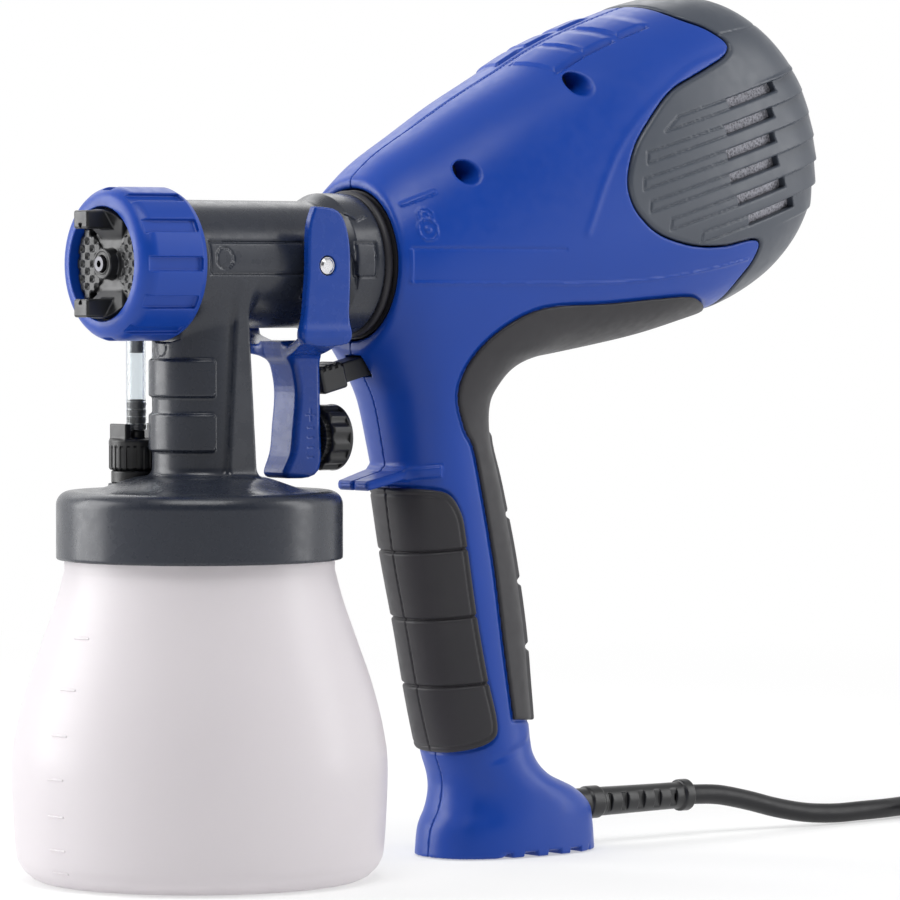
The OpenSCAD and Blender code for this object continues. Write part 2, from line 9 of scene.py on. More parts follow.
import bpy
import numpy as np
import openvdb as vdb
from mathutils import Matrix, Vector


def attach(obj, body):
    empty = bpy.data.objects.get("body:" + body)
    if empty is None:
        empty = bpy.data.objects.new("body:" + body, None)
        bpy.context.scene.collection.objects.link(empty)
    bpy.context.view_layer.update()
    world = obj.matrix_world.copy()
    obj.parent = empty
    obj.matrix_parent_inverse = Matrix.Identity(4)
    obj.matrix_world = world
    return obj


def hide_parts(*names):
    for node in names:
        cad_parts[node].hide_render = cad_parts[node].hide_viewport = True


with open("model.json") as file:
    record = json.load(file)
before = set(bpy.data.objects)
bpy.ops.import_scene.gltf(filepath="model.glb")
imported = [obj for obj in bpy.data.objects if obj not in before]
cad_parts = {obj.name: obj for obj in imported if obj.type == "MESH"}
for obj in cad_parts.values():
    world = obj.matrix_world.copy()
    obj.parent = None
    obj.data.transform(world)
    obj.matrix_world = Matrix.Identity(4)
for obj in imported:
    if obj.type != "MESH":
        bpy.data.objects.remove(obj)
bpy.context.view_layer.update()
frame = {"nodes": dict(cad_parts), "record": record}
MM = 0.001

# ---------------------------------------------------------------- sizes, as in the CAD, in millimetres
AXIS_Z = 215.3  # height of the barrel's axis
TILT = math.radians(20)
TILT_AT = (-65.0, 212.0)  # where the tilted frame of the motor starts
WALL = 2.5
PIVOT = (-34.3, 214.8)
KNOB_Z = 153.6
LID_TOP = 136.0
VALVE = (7.5, -28.0)
CORD_D = 7.5
COIL_AT = (-408.0, 12.0)
COIL_H = 15.0
SCREWS = [(-95.0, 248.3), (-146.0, 281.0)]
LOCK = (-76.1, 227.6)  # the padlock mark in the side view
LOUVRES = 6
LOUVRE_TOP = 11.1  # middle of the first slot, measured 145 mm back
LOUVRE_PITCH = 8.8
LOUVRE_HALF = 1.85
LOUVRE_SLANT = -0.07

# Housing stations: top x, top z, bottom x, bottom z, half width, roundness.
BODY_ROWS = [
    (-66, 246, -66, 184.5, 31, 2),
    (-77, 255, -81, 176, 35, 2.1),
    (-94, 265, -105, 177, 38.5, 2.2),
    (-112, 275.5, -131, 180.5, 41.5, 2.3),
    (-131, 285.5, -158, 184.5, 44, 2.35),
    (-151, 296, -187, 189.5, 46, 2.4),
    (-168, 303, -208, 194.5, 47, 2.4),
    (-184, 308.7, -226, 199.5, 47, 2.4),
    (-199, 313.3, -240, 205.5, 46, 2.4),
    (-213, 315.8, -251, 212.5, 44, 2.4),
    (-227, 314.5, -259.5, 221.5, 41.5, 2.4),
    (-240, 308, -265, 233, 37, 2.4),
    (-252, 298, -268, 247, 28, 2.3),
    (-260.5, 284.5, -268.5, 262, 13, 2.1),
    (-264.5, 277, -268.3, 269, 5, 2),
]
# Handle stations: height, front x, back x, half width, roundness.
HANDLE_ROWS = [
    (198, -70, -160, 31, 2.2),
    (186, -69.5, -146, 29.5, 2.2),
    (180, -70.5, -132.5, 28, 2.2),
    (173, -73.5, -125.5, 26, 2.2),
    (165, -77, -120.5, 24.2, 2.2),
    (152, -80, -121, 22.5, 2.25),
    (136, -83, -126, 21.3, 2.3),
    (110, -87.2, -133, 20.5, 2.3),
    (83, -93.3, -138, 20, 2.3),
    (60, -98.3, -140.3, 20, 2.3),
    (44, -102.5, -141.8, 20.2, 2.3),
    (36, -105, -143.5, 20.6, 2.3),
    (29, -107.5, -150, 21.2, 2.35),
    (23, -107.5, -163, 22, 2.4),
    (17, -106, -170, 22.3, 2.5),
    (10, -102.5, -172, 22.5, 2.5),
    (0, -101.2, -173, 22.5, 2.5),
]
# Edge of the rear cover in the tilted frame: distance back, distance up.
COVER_EDGE = [
    (153, 62), (156, 46), (164, 37), (168, 29.5), (163, 26), (148, 24.5), (132, 23), (118, 17), (107, 10),
    (100, 1), (98.5, -7), (101, -15), (108, -24), (122, -33), (137, -38.5), (151, -41), (156, -44.5),
    (153, -51), (146, -59), (140, -80),
]
FRONT_GRIP_EDGE = [
    (-86, 135.2), (-95, 133.4), (-100.5, 126), (-103, 116), (-108, 90), (-113, 67), (-117.5, 49),
    (-115, 42.5), (-104, 38),
]
BACK_GRIP_EDGE = [
    (-217, 199), (-206, 202.5), (-194, 204), (-156, 201.5), (-127, 200), (-110, 193), (-99, 182),
    (-95.5, 169), (-100, 156), (-106, 146), (-115, 110), (-120.5, 77), (-123, 62), (-125, 50),
]
# Free stretch of the mains cord, from the strain relief to the coil.
CORD_ROUTE = [
    (-225, 0, 15.5), (-240, 0, 14.6), (-255, 0, 11.6), (-270, 0, 7.8), (-285, 0, 5), (-300, 0, 3.8),
    (-315, -0.5, 3.8), (-330, -2, 3.8), (-345, -6, 3.8), (-360, -13, 3.8), (-373, -22, 3.8),
    (-385, -30, 3.8), (-395, -34, 3.8),
]


# ---------------------------------------------------------------- camera, stage and light
def point_at(ob, target):
    ob.rotation_euler = (Vector(target) - ob.location).to_track_quat("-Z", "Y").to_euler()


def make_camera():
    target = Vector((-0.1115, 0.0, 0.148))
    azimuth, elevation, distance = math.radians(142), math.radians(1.8), 1.9
    data = bpy.data.cameras.new("camera")
    data.lens = 208.8
    data.sensor_width = 36
    data.clip_end = 50
    camera = bpy.data.objects.new("camera", data)
    bpy.context.scene.collection.objects.link(camera)
    away = Vector((math.sin(azimuth) * math.cos(elevation), -math.cos(azimuth) * math.cos(elevation), math.sin(elevation)))
    camera.location = target + away * distance
    point_at(camera, target)
    bpy.context.scene.camera = camera


def area_light(name, place, target, size, power, color=(1, 1, 1)):
    data = bpy.data.lights.new(name, "AREA")
    data.shape = "RECTANGLE"
    data.size, data.size_y = size
    data.energy = power
    data.color = color
    light = bpy.data.objects.new(name, data)
    light.location = place
    bpy.context.scene.collection.objects.link(light)
    point_at(light, target)


def make_world():
    """White behind and beside the object, darker overhead and on the side the photo is taken from."""
    world = bpy.data.worlds.new("studio")
    world.use_nodes = True
    nodes, links = world.node_tree.nodes, world.node_tree.links
    place = nodes.new("ShaderNodeTexCoord")
    strengths = []
    for toward, start, end, dark in (((0, 0, 1), 0.3, 0.75, 0.5), ((0.616, 0.788, 0), 0.0, 0.7, 0.1)):
        along = nodes.new("ShaderNodeVectorMath")
        along.operation = "DOT_PRODUCT"
        along.inputs[1].default_value = toward
        links.new(place.outputs["Generated"], along.inputs[0])
        strengths.append(ramp(nodes, links, along.outputs["Value"], 1.0, dark, start, end))
    both = nodes.new("ShaderNodeMath")
    both.operation = "MULTIPLY"
    links.new(strengths[0], both.inputs[0])
    links.new(strengths[1], both.inputs[1])
    links.new(both.outputs[0], nodes["Background"].inputs["Strength"])
    nodes["Background"].inputs["Color"].default_value = (1, 1, 1, 1)
    bpy.context.scene.world = world


def make_floor():
    """Pale floor that turns to plain white away from the object, so that no horizon shows."""
    bpy.ops.mesh.primitive_plane_add(size=60, location=(0, 0, -0.0004))
    floor = bpy.context.active_object
    floor.name = "floor"
    pale = bpy.data.materials.new("pale_floor")
    pale.use_nodes = True
    nodes, links = pale.node_tree.nodes, pale.node_tree.links
    shader = nodes["Principled BSDF"]
    shader.inputs["Base Color"].default_value = (0.93, 0.93, 0.93, 1)
    shader.inputs["Roughness"].default_value = 0.9
    shader.inputs["Specular IOR Level"].default_value = 0.0
    place = nodes.new("ShaderNodeTexCoord")
    far = nodes.new("ShaderNodeVectorMath")
    far.operation = "LENGTH"
    links.new(place.outputs["Object"], far.inputs[0])
    fade = nodes.new("ShaderNodeMapRange")
    fade.interpolation_type = "SMOOTHSTEP"
    fade.inputs["From Min"].default_value = 0.5
    fade.inputs["From Max"].default_value = 1.3
    fade.inputs["To Min"].default_value = 0.45
    links.new(far.outputs["Value"], fade.inputs["Value"])
    white = nodes.new("ShaderNodeEmission")
    mix = nodes.new("ShaderNodeMixShader")
    links.new(fade.outputs["Result"], mix.inputs[0])
    links.new(shader.outputs[0], mix.inputs[1])
    links.new(white.outputs[0], mix.inputs[2])
    links.new(mix.outputs[0], nodes["Material Output"].inputs["Surface"])
    floor.data.materials.append(pale)


def make_stage():
    bpy.context.scene.view_settings.view_transform = "Standard"
    make_world()
    make_floor()
    middle = (-0.11, 0, 0.17)
    area_light("key", (0.45, 0.6, 1.6), middle, (1.1, 0.9), 15)
    area_light("left_strip", (0.95, -0.95, 0.45), middle, (0.9, 1.4), 20)
    area_light("right_strip", (-1.15, 0.8, 0.6), middle, (0.5, 1.4), 8)
    area_light("back_light", (-0.5, -1.3, 1.2), middle, (1.6, 0.8), 6)


# ---------------------------------------------------------------- materials
def base_material(name, color, roughness):
    """A Principled material with its nodes at hand: material, nodes, links, shader."""
    mat = bpy.data.materials.new(name)
    mat.use_nodes = True
    nodes, links = mat.node_tree.nodes, mat.node_tree.links
    shader = nodes["Principled BSDF"]
    shader.inputs["Base Color"].default_value = (*color, 1)
    shader.inputs["Roughness"].default_value = roughness
    return mat, nodes, links, shader


def noise(nodes, links, scale, detail=3.0, roughness=0.5):
    place = nodes.new("ShaderNodeTexCoord")
    tex = nodes.new("ShaderNodeTexNoise")
    tex.inputs["Scale"].default_value = scale
    tex.inputs["Detail"].default_value = detail
    tex.inputs["Roughness"].default_value = roughness
    links.new(place.outputs["Object"], tex.inputs["Vector"])
    return tex.outputs["Fac"]


def ramp(nodes, links, source, low, high, start=0.3, end=0.7):
    node = nodes.new("ShaderNodeMapRange")
    node.inputs["From Min"].default_value = start
    node.inputs["From Max"].default_value = end
    node.inputs["To Min"].default_value = low
    node.inputs["To Max"].default_value = high
    links.new(source, node.inputs["Value"])
    return node.outputs["Result"]


def tint(nodes, links, source, color, spread):
    """Colour that varies a little about one value, in patches."""
    mix = nodes.new("ShaderNodeMix")
    mix.data_type = "RGBA"
    mix.inputs[6].default_value = (*[c * (1 - spread) for c in color], 1)
    mix.inputs[7].default_value = (*[min(c * (1 + spread), 1) for c in color], 1)
    links.new(source, mix.inputs[0])
    return mix.outputs[2]


def moulded(name, color, roughness, grain=1500.0, depth=0.000006, spread=0.06, rough_spread=0.05, shine=0.35):
    """Moulded plastic: a fine grain in the surface, patches of slightly other gloss and colour."""
    mat, nodes, links, shader = base_material(name, color, roughness)
    shader.inputs["Specular IOR Level"].default_value = shine
    patches = noise(nodes, links, 26.0, 2.0)
    links.new(tint(nodes, links, patches, color, spread), shader.inputs["Base Color"])
    fine = noise(nodes, links, 240.0, 4.0)
    links.new(ramp(nodes, links, fine, roughness - rough_spread, roughness + rough_spread), shader.inputs["Roughness"])
    bump = nodes.new("ShaderNodeBump")
    bump.inputs["Distance"].default_value = depth
    bump.inputs["Strength"].default_value = 0.5
    links.new(noise(nodes, links, grain, 2.0), bump.inputs["Height"])
    links.new(bump.outputs["Normal"], shader.inputs["Normal"])
    return mat


def brushed(name, color, roughness):
    mat = moulded(name, color, roughness, grain=900.0, depth=0.000008, spread=0.08)
    mat.node_tree.nodes["Principled BSDF"].inputs["Metallic"].default_value = 1.0
    return mat


def see_through(name, color, ior, roughness, transmission):
    mat, nodes, links, shader = base_material(name, color, roughness)
    shader.inputs["Transmission Weight"].default_value = transmission
    shader.inputs["IOR"].default_value = ior
    cloud = noise(nodes, links, 60.0, 3.0)
    links.new(ramp(nodes, links, cloud, roughness * 0.8, roughness * 1.25), shader.inputs["Roughness"])
    return mat


def milky(name):
    """Blow-moulded translucent cup: light comes through the wall and spreads."""
    mat, nodes, links, shader = base_material(name, (0.88, 0.85, 0.87), 0.34)
    cloud = noise(nodes, links, 14.0, 2.0)
    links.new(tint(nodes, links, cloud, (0.88, 0.85, 0.87), 0.015), shader.inputs["Base Color"])
    links.new(ramp(nodes, links, noise(nodes, links, 90.0), 0.3, 0.38), shader.inputs["Roughness"])
    through = nodes.new("ShaderNodeBsdfTranslucent")
    through.inputs["Color"].default_value = (0.97, 0.945, 0.96, 1)
    mix = nodes.new("ShaderNodeMixShader")
    mix.inputs[0].default_value = 0.42
    links.new(shader.outputs[0], mix.inputs[1])
    links.new(through.outputs[0], mix.inputs[2])
    links.new(mix.outputs[0], nodes["Material Output"].inputs["Surface"])
    return mat


def foam(name):
    mat, nodes, links, shader = base_material(name, (0.33, 0.33, 0.37), 0.95)
    place = nodes.new("ShaderNodeTexCoord")
    cells = nodes.new("ShaderNodeTexVoronoi")
    cells.inputs["Scale"].default_value = 900.0
    links.new(place.outputs["Object"], cells.inputs["Vector"])
    shade = ramp(nodes, links, cells.outputs["Distance"], 0.0, 1.0, 0.1, 0.6)
    links.new(tint(nodes, links, shade, (0.33, 0.33, 0.37), 0.35), shader.inputs["Base Color"])
    bump = nodes.new("ShaderNodeBump")
    bump.inputs["Distance"].default_value = 0.0006
    links.new(cells.outputs["Distance"], bump.inputs["Height"])
    links.new(bump.outputs["Normal"], shader.inputs["Normal"])
    return mat


BLUE = moulded("blue_plastic", (0.003, 0.047, 0.33), 0.36, spread=0.05)
TRIGGER_BLUE = moulded("trigger_blue", (0.003, 0.042, 0.28), 0.26, spread=0.05)
GREY = moulded("grey_plastic", (0.019, 0.023, 0.034), 0.28, shine=0.5)
COVER_GREY = moulded("cover_grey", (0.05, 0.06, 0.08), 0.38, shine=0.5)
BLACK = moulded("black_plastic", (0.012, 0.0125, 0.014), 0.36, shine=0.5)
RUBBER = moulded("soft_rubber", (0.026, 0.025, 0.029), 0.48, grain=1100.0, depth=0.00001)
CORD = moulded("cord_rubber", (0.007, 0.007, 0.009), 0.4, grain=700.0, depth=0.00001)
MILKY = milky("cup_plastic")
CLEAR = see_through("clear_tube", (0.9, 0.94, 0.96), 1.35, 0.08, 0.92)
WHITE = moulded("white_plastic", (0.7, 0.7, 0.68), 0.4)
FOAM = foam("filter_foam")
STEEL = brushed("steel", (0.72, 0.72, 0.74), 0.22)
# Dark steel: painted shade on the housing screws, standing for the shadow in their deep recesses; also put on the
# fluid nozzle.
DARK_STEEL_AND_PAINTED_SHADE = brushed("dark_steel_and_painted_shade", (0.1, 0.1, 0.11), 0.35)
BRASS = brushed("brass", (0.78, 0.58, 0.26), 0.28)
COPPER = brushed("copper", (0.7, 0.36, 0.2), 0.35)
SLOT_LOOKS = {
    "blue_plastic": BLUE, "grey_plastic": GREY, "black_plastic": BLACK, "soft_rubber": RUBBER,
    "cord_rubber": CORD, "cup_plastic": MILKY, "clear_tube": CLEAR, "white_plastic": WHITE,
    "filter_foam": FOAM, "steel": STEEL, "brass": BRASS, "copper": COPPER,
}


def dress_nodes():
    """Every CAD node gets the procedural material of its slot. The housing screws then get dark steel as painted
    shade, standing for the shadow in their deep recesses; the fluid nozzle gets the same dark steel.
    """
    for part in frame["record"]["subparts"]:
        for slot in frame["nodes"][part["node"]].material_slots:
            slot.material = SLOT_LOOKS[part["material_slot"]]
    # Painted shade: the housing screws are made dark to stand for the shadow down in their recesses.
    for node in ("housing_screws", "fluid_nozzle"):
        for slot in frame["nodes"][node].material_slots:
            slot.material = DARK_STEEL_AND_PAINTED_SHADE


# ---------------------------------------------------------------- distance fields
def softmin(a, b, k):
    h = np.clip(0.5 + 0.5 * (b - a) / k, 0, 1)
    return b * (1 - h) + a * h - k * h * (1 - h)


def softmax(a, b, k):
    return -softmin(-a, -b, k)


def cut(a, b, k=0.6):
    return softmax(a, -b, k)


def round_max(a, b, r):
    """Where both fields hold, with an edge of radius r."""
    return np.minimum(-r, np.maximum(a, b)) + np.hypot(np.maximum(a + r, 0), np.maximum(b + r, 0))


def round_min(a, b, r):
    """Both fields joined, with a fillet of radius r."""
    return np.maximum(r, np.minimum(a, b)) - np.hypot(np.maximum(r - a, 0), np.maximum(r - b, 0))


def smooth_step(v, low, high):
    t = np.clip((v - low) / (high - low), 0, 1)
    return t * t * (3 - 2 * t)


def groove(distance, width, depth):
    """How deep a round groove is at a distance from its line."""
    return depth * np.exp(-((distance / width) ** 2) * 2.2)


def box(x, y, z, low, high, r=0.5):
    q = [np.abs(v - (a + b) / 2) - (b - a) / 2 + r for v, a, b in zip((x, y, z), low, high)]
    outside = np.sqrt(sum(np.maximum(v, 0) ** 2 for v in q))
    return outside + np.minimum(np.maximum(np.maximum(q[0], q[1]), q[2]), 0) - r


def rod(along, radial, start, end, r, edge=0.5):
    """A cylinder from start to end, its edges rounded."""
    return round_max(radial - r, np.abs(along - (start + end) / 2) - (end - start) / 2, edge)


def from_axis(y, z, centre=AXIS_Z):
    return np.hypot(y, z - centre)


def spokes(y, z, count, turn=0.0, centre=AXIS_Z):
    """The nearest of count spokes about the barrel's axis: distance along it and across it."""
    pitch = 2 * math.pi / count
    angle = np.arctan2(y, z - centre) - turn
    away = (angle + pitch / 2) % pitch - pitch / 2
    radial = np.hypot(y, z - centre)
    return radial * np.cos(away), radial * np.sin(away)


def catmull(rows, steps):
    """Rows of numbers with smooth ones put between them."""
    rows = np.array(rows, float)
    out = []
    last = len(rows) - 1
    for i in range(last):
        a, b, c, d = rows[max(i - 1, 0)], rows[i], rows[i + 1], rows[min(i + 2, last)]
        for s in range(steps):
            t = s / steps
            out.append((2 * b + (c - a) * t + (2 * a - 5 * b + 4 * c - d) * t**2 + (3 * b - a - 3 * c + d) * t**3) / 2)
    out.append(rows[last])
    return np.array(out)


def polygon(px, pz, points):
    """Signed distance to a closed outline, negative inside."""
    points = np.array(points, float)
    best = np.full(px.shape, 1e9)
    inside = np.zeros(px.shape, bool)
    for a, b in zip(points, np.roll(points, -1, axis=0)):
        ex, ez = b - a
        wx, wz = px - a[0], pz - a[1]
        t = np.clip((wx * ex + wz * ez) / max(ex * ex + ez * ez, 1e-9), 0, 1)
        best = np.minimum(best, (wx - ex * t) ** 2 + (wz - ez * t) ** 2)
        crosses = (a[1] > pz) != (b[1] > pz)
        with np.errstate(divide="ignore", invalid="ignore"):
            inside ^= crosses & (px < ex * (pz - a[1]) / (ez if ez else 1e-9) + a[0])
    return np.where(inside, -np.sqrt(best), np.sqrt(best))


def line(px, pz, points):
    """Distance to an open line through the points."""
    points = np.array(points, float)
    best = np.full(px.shape, 1e9)
    for a, b in zip(points[:-1], points[1:]):
        ex, ez = b - a
        wx, wz = px - a[0], pz - a[1]
        t = np.clip((wx * ex + wz * ez) / max(ex * ex + ez * ez, 1e-9), 0, 1)
        best = np.minimum(best, (wx - ex * t) ** 2 + (wz - ez * t) ** 2)
    return np.sqrt(best)


class SideMap:
    """Values worked out once on a grid of the side view and looked up between its points."""

    def __init__(self, make, low, high, step=0.5):
        self.low, self.step = np.array(low, float), step
        xs = np.arange(low[0], high[0] + step, step)
        zs = np.arange(low[1], high[1] + step, step)
        self.table = np.stack(make(*np.meshgrid(xs, zs, indexing="ij")), axis=-1).astype(np.float32)

    def __call__(self, x, z):
        u = np.clip((x - self.low[0]) / self.step, 0, self.table.shape[0] - 1.001)
        v = np.clip((z - self.low[1]) / self.step, 0, self.table.shape[1] - 1.001)
        i, j = u.astype(int), v.astype(int)
        fu, fv = (u - i)[..., None], (v - j)[..., None]
        t = self.table
        out = (t[i, j] * (1 - fu) + t[i + 1, j] * fu) * (1 - fv) + (t[i, j + 1] * (1 - fu) + t[i + 1, j + 1] * fu) * fv
        return [out[..., k] for k in range(out.shape[-1])]


def tilted(x, z):
    """Distance back along the motor's axis and distance up across it."""
    dx, dz = x - TILT_AT[0], z - TILT_AT[1]
    return -math.cos(TILT) * dx + math.sin(TILT) * dz, math.sin(TILT) * dx + math.cos(TILT) * dz


def untilted(u, v):
    return (TILT_AT[0] - math.cos(TILT) * u + math.sin(TILT) * v, TILT_AT[1] + math.sin(TILT) * u + math.cos(TILT) * v)


def superellipse(y, v, half_y, half_v, n):
    """Near distance to a superellipse of half sizes half_y and half_v."""
    a, b = np.maximum(np.abs(y) / half_y, 1e-4), np.maximum(np.abs(v) / half_v, 1e-4)
    total = a**n + b**n
    size = total ** (1 / n)
    scale = total ** (1 / n - 1)
    slope = scale * np.sqrt((a ** (n - 1) / half_y) ** 2 + (b ** (n - 1) / half_v) ** 2)
    return (size - 1) / np.maximum(slope, 1e-4)


def body_table(px, pz):
    """For each point of the side view: height in its section, the section's half sizes and roundness."""
    rows = catmull(BODY_ROWS, 12)
    top, bottom = rows[:, 0:2], rows[:, 2:4]
    middle, span = (top + bottom) / 2, np.linalg.norm(top - bottom, axis=1)
    up = (top - bottom) / span[:, None]
    ahead = np.stack([-up[:, 1], up[:, 0]], axis=1)
    index = np.zeros(px.shape)
    passed = np.zeros(px.shape, bool)
    before = (px - middle[0, 0]) * ahead[0, 0] + (pz - middle[0, 1]) * ahead[0, 1]
    for k in range(1, len(rows)):
        d = (px - middle[k, 0]) * ahead[k, 0] + (pz - middle[k, 1]) * ahead[k, 1]
        here = (~passed) & (before >= 0) & (d < 0)
        index = np.where(here, k - 1 + before / np.maximum(before - d, 1e-9), index)
        passed |= here
        before = d
    beyond = (~passed) & (before >= 0)
    index = np.where(beyond, len(rows) - 1, index)
    spots = np.arange(len(rows))

    def at(values):
        return np.interp(index, spots, values)

    height = (px - at(middle[:, 0])) * at(up[:, 0]) + (pz - at(middle[:, 1])) * at(up[:, 1])
    past = np.where(beyond, before, -1.0)
    return [height, at(span) / 2, at(rows[:, 4]), at(rows[:, 5]), past]


BODY_MAP = SideMap(body_table, (-285, 165), (-55, 330))
HANDLE_FINE = catmull(HANDLE_ROWS, 8)[::-1]


def body(x, y, z):
    height, half_v, half_y, n, past = BODY_MAP(x, z)
    return np.maximum(superellipse(y, height, half_y, half_v, n), past)


def handle(x, y, z):
    front, back, half, n = (np.interp(z, HANDLE_FINE[:, 0], HANDLE_FINE[:, k]) for k in (1, 2, 3, 4))
    d = superellipse(y, x - (front + back) / 2, half, (front - back) / 2, n)
    return softmax(d, np.maximum(z - 198, -z), 0.8)


def skin(x, y, z):
    """The housing's outer surface: motor body and handle with a fillet between them."""
    return softmin(body(x, y, z), handle(x, y, z), 9)


def outline_maps(px, pz):
    u, v = tilted(px, pz)
    edge = catmull(COVER_EDGE, 4)
    cover = polygon(u, v, [*edge, (260, -80), (260, 62)])
    front = polygon(px, pz, [(-60, 135.4), *catmull(FRONT_GRIP_EDGE, 4), (-60, 36)])
    back = polygon(px, pz, [*catmull(BACK_GRIP_EDGE, 4), (-170, 46), (-170, 150), (-232, 180)])
    return [cover, front, back]


OUTLINES = SideMap(outline_maps, (-285, -5), (-55, 330))


BESIDE_COVER = [
    (-213, 294), (-205.6, 291.9), (-192.7, 287.3), (-178, 278.2), (-165.3, 268.8), (-155.2, 257.8), (-147.5, 244),
    (-141, 227),
]
PANEL_LOW = [(-69.3, 208.6), (-120, 208.5), (-149.5, 208.6), (-178, 210.4), (-203.7, 214), (-222, 217.6)]
PANEL_HIGH = [(-69.3, 221), (-132, 220.9)]


def shell_marks(px, pz):
    """Height of the raised (+) and sunk (-) marks on the housing's sides."""
    marks = groove(line(px, pz, catmull(BESIDE_COVER, 5)), 2.2, 0.25)
    marks += groove(line(px, pz, catmull(PANEL_LOW, 5)), 0.8, 0.55)
    marks -= groove(line(px, pz, PANEL_HIGH), 0.7, 0.4)
    marks += groove(line(px, pz, [(-69.3, 209), (-69.3, 220.6)]), 0.7, 0.5)
    marks += groove(np.maximum(line(px, pz, [(-69.6, 236.6), (-81.4, 241.2)]) - 0.3, 0), 0.6, 0.7)
    lock_body = np.hypot(px - LOCK[0], (pz - LOCK[1]) * 0.92)
    marks += groove(lock_body - 3.4, 0.5, 0.4) + groove(np.maximum(lock_body - 0.7, 0), 0.5, 0.4)
    for half, top in ((2.6, 7.6), (1.3, 6.2)):
        arch = [(-half, 3), (-half, top - 1.4), (-half * 0.4, top), (half * 0.4, top), (half, top - 1.4), (half, 3)]
        marks += groove(line(px, pz, [(LOCK[0] + a, LOCK[1] + b) for a, b in arch]), 0.45, 0.35)
    return [marks]


MARKS = SideMap(shell_marks, (-285, 165), (-55, 330))


def top_relief(x, y, z):
    """Three raised plates on each side of the top, like shingles, with a groove along both edges of each."""
    side = np.abs(y)
    sink = groove(side - 0.9, 0.5, 0.25)
    for start in (-136.5, -150.0, -166.0):
        back = start - 0.0095 * side**2 - x
        inside = smooth_step(side, 3.4, 4.6) * (1 - smooth_step(side, 22.5, 23.7))
        raised = smooth_step(back, -0.4, 0.4) * (1 - smooth_step(back, 9, 16))
        sink = sink - 0.9 * raised * inside
        sink += groove(side - 4.2, 0.8, 1.0) * smooth_step(back, -1, 0) * (1 - smooth_step(back, 9.5, 11))
        sink += groove(side - 24.2, 0.8, 1.1) * smooth_step(back, -1, 0) * (1 - smooth_step(back, 12, 13.5))
    return sink * smooth_step(z, 262, 270)


def shell(x, y, z, recessed):
    bare = skin(x, y, z)
    d = bare - MARKS(x, z)[0] * smooth_step(np.abs(y), 22, 27) * smooth_step(z, 190, 196)
    d = d + top_relief(x, y, z)
    cover, front_grip, back_grip = OUTLINES(x, z)
    d = d + groove(np.minimum(np.abs(front_grip), np.abs(back_grip)), 1.0, 0.7) * smooth_step(bare, -3, 0)
    fin = softmax(
        box(x, y, z - 138 + (x + 75) * 0.26, (-91, -12, -1.8), (-63, 12, 1.8), 1.4),
        np.abs(y) - 8.5 + (x + 63) * 0.18, 1.5)
    fin = softmin(fin, box(x, y, z, (-66, -8.5, 129), (-63.4, 8.5, 137), 1.0), 1.2)
    lip = softmax(bare - 1.3, np.maximum(np.abs(z - 140.5 + (x + 85) * 0.1) - 1.8, -92 - x), 1.0)
    d = softmin(softmin(d, fin, 3.0), lip, 1.5)
    radial = np.hypot(y, z - AXIS_Z)
    d = cut(d, np.maximum(radial - 27.3, -76 - x), 1.0)
    d = softmax(d, x + 66, 2.0)
    d = np.maximum(d, -(bare + WALL) * np.where(x < -66, 1, -1))
    d = softmax(d, 0.45 - cover, 1.1)
    slot_x, slot_z = x + 60, z - 176.5
    turn = math.radians(14)
    sx = slot_x * math.cos(turn) - slot_z * math.sin(turn)
    sz = slot_x * math.sin(turn) + slot_z * math.cos(turn)
    d = cut(d, box(sx, y, sz, (-25, -4.6, -4.3), (4, 4.6, 4.3)), 0.8)
    d = cut(d, np.maximum(np.hypot(y, z - 15.5) - 5.7, x + 160), 0.8)
    notches = np.abs((x / 11) % 1 - 0.5)
    rim = (1 - smooth_step(z, 1.4, 2.4)) * smooth_step(notches, 0.2, 0.26)
    d = d + 1.3 * rim * smooth_step(-x, 118, 124) * (1 - smooth_step(-x, 160, 164))
    crease = np.abs(z - 38 - (x + 130) * -0.05 + (-122 - x) * -0.28)
    d = d + groove(crease, 2.2, 0.5) * smooth_step(-x, 112, 120) * smooth_step(np.abs(y), 12, 17)
    if recessed:
        for sx, sz in SCREWS:
            around = np.hypot(x - sx, z - sz)
            cone = np.maximum(around - 3.6 - (y - 18) * 0.054, 18 - y)
            post = np.maximum(around - 5.4, np.maximum(y - 34, -y))
            d = np.where(bare < -0.5, np.minimum(d, post), d)
            d = cut(d, cone, 1.0)
    return softmax(d, 0.05 - y, 0.5)


def front_grip(x, y, z):
    bare = skin(x, y, z)
    _, edge, _ = OUTLINES(x, z)
    slope = z + 0.094 * (x + 90)
    deep = sum(groove(slope - at, 0.9, 1.1) for at in (112.0, 87.0, 62.0))
    thick = 1.7 - deep - groove(y, 0.6, 0.5) - groove(edge + 2.6, 0.7, 0.35)
    d = softmax(bare - thick, edge + 0.3, 1.6)
    return np.maximum(d, -(bare + 0.6))


def back_grip(x, y, z):
    bare = skin(x, y, z)
    _, _, edge = OUTLINES(x, z)
    pads = smooth_step(-(np.abs(y) - 15), 0, 1.6) * smooth_step(-x, 100, 112) * (1 - smooth_step(z, 153, 156))
    for at in (124.5, 100.0, 76.0):
        pads = pads * smooth_step(np.abs(z - at), 0.5, 1.8)
    d = softmax(bare - 1.1 - 1.2 * pads, edge + 0.3, 1.2)
    return np.maximum(d, -(bare + 0.6))


CHANNEL_STARTS = (121.5, 109.4, 104.5, 104.7, 111.9, 125)
SLOT_STARTS = (153.7, 148.3, 145.4, 143.9, 145.4, 149.5)
SLOT_LENGTH = 26.5
CAVITY_END = 200.0  # the cover is solid behind this, where it closes


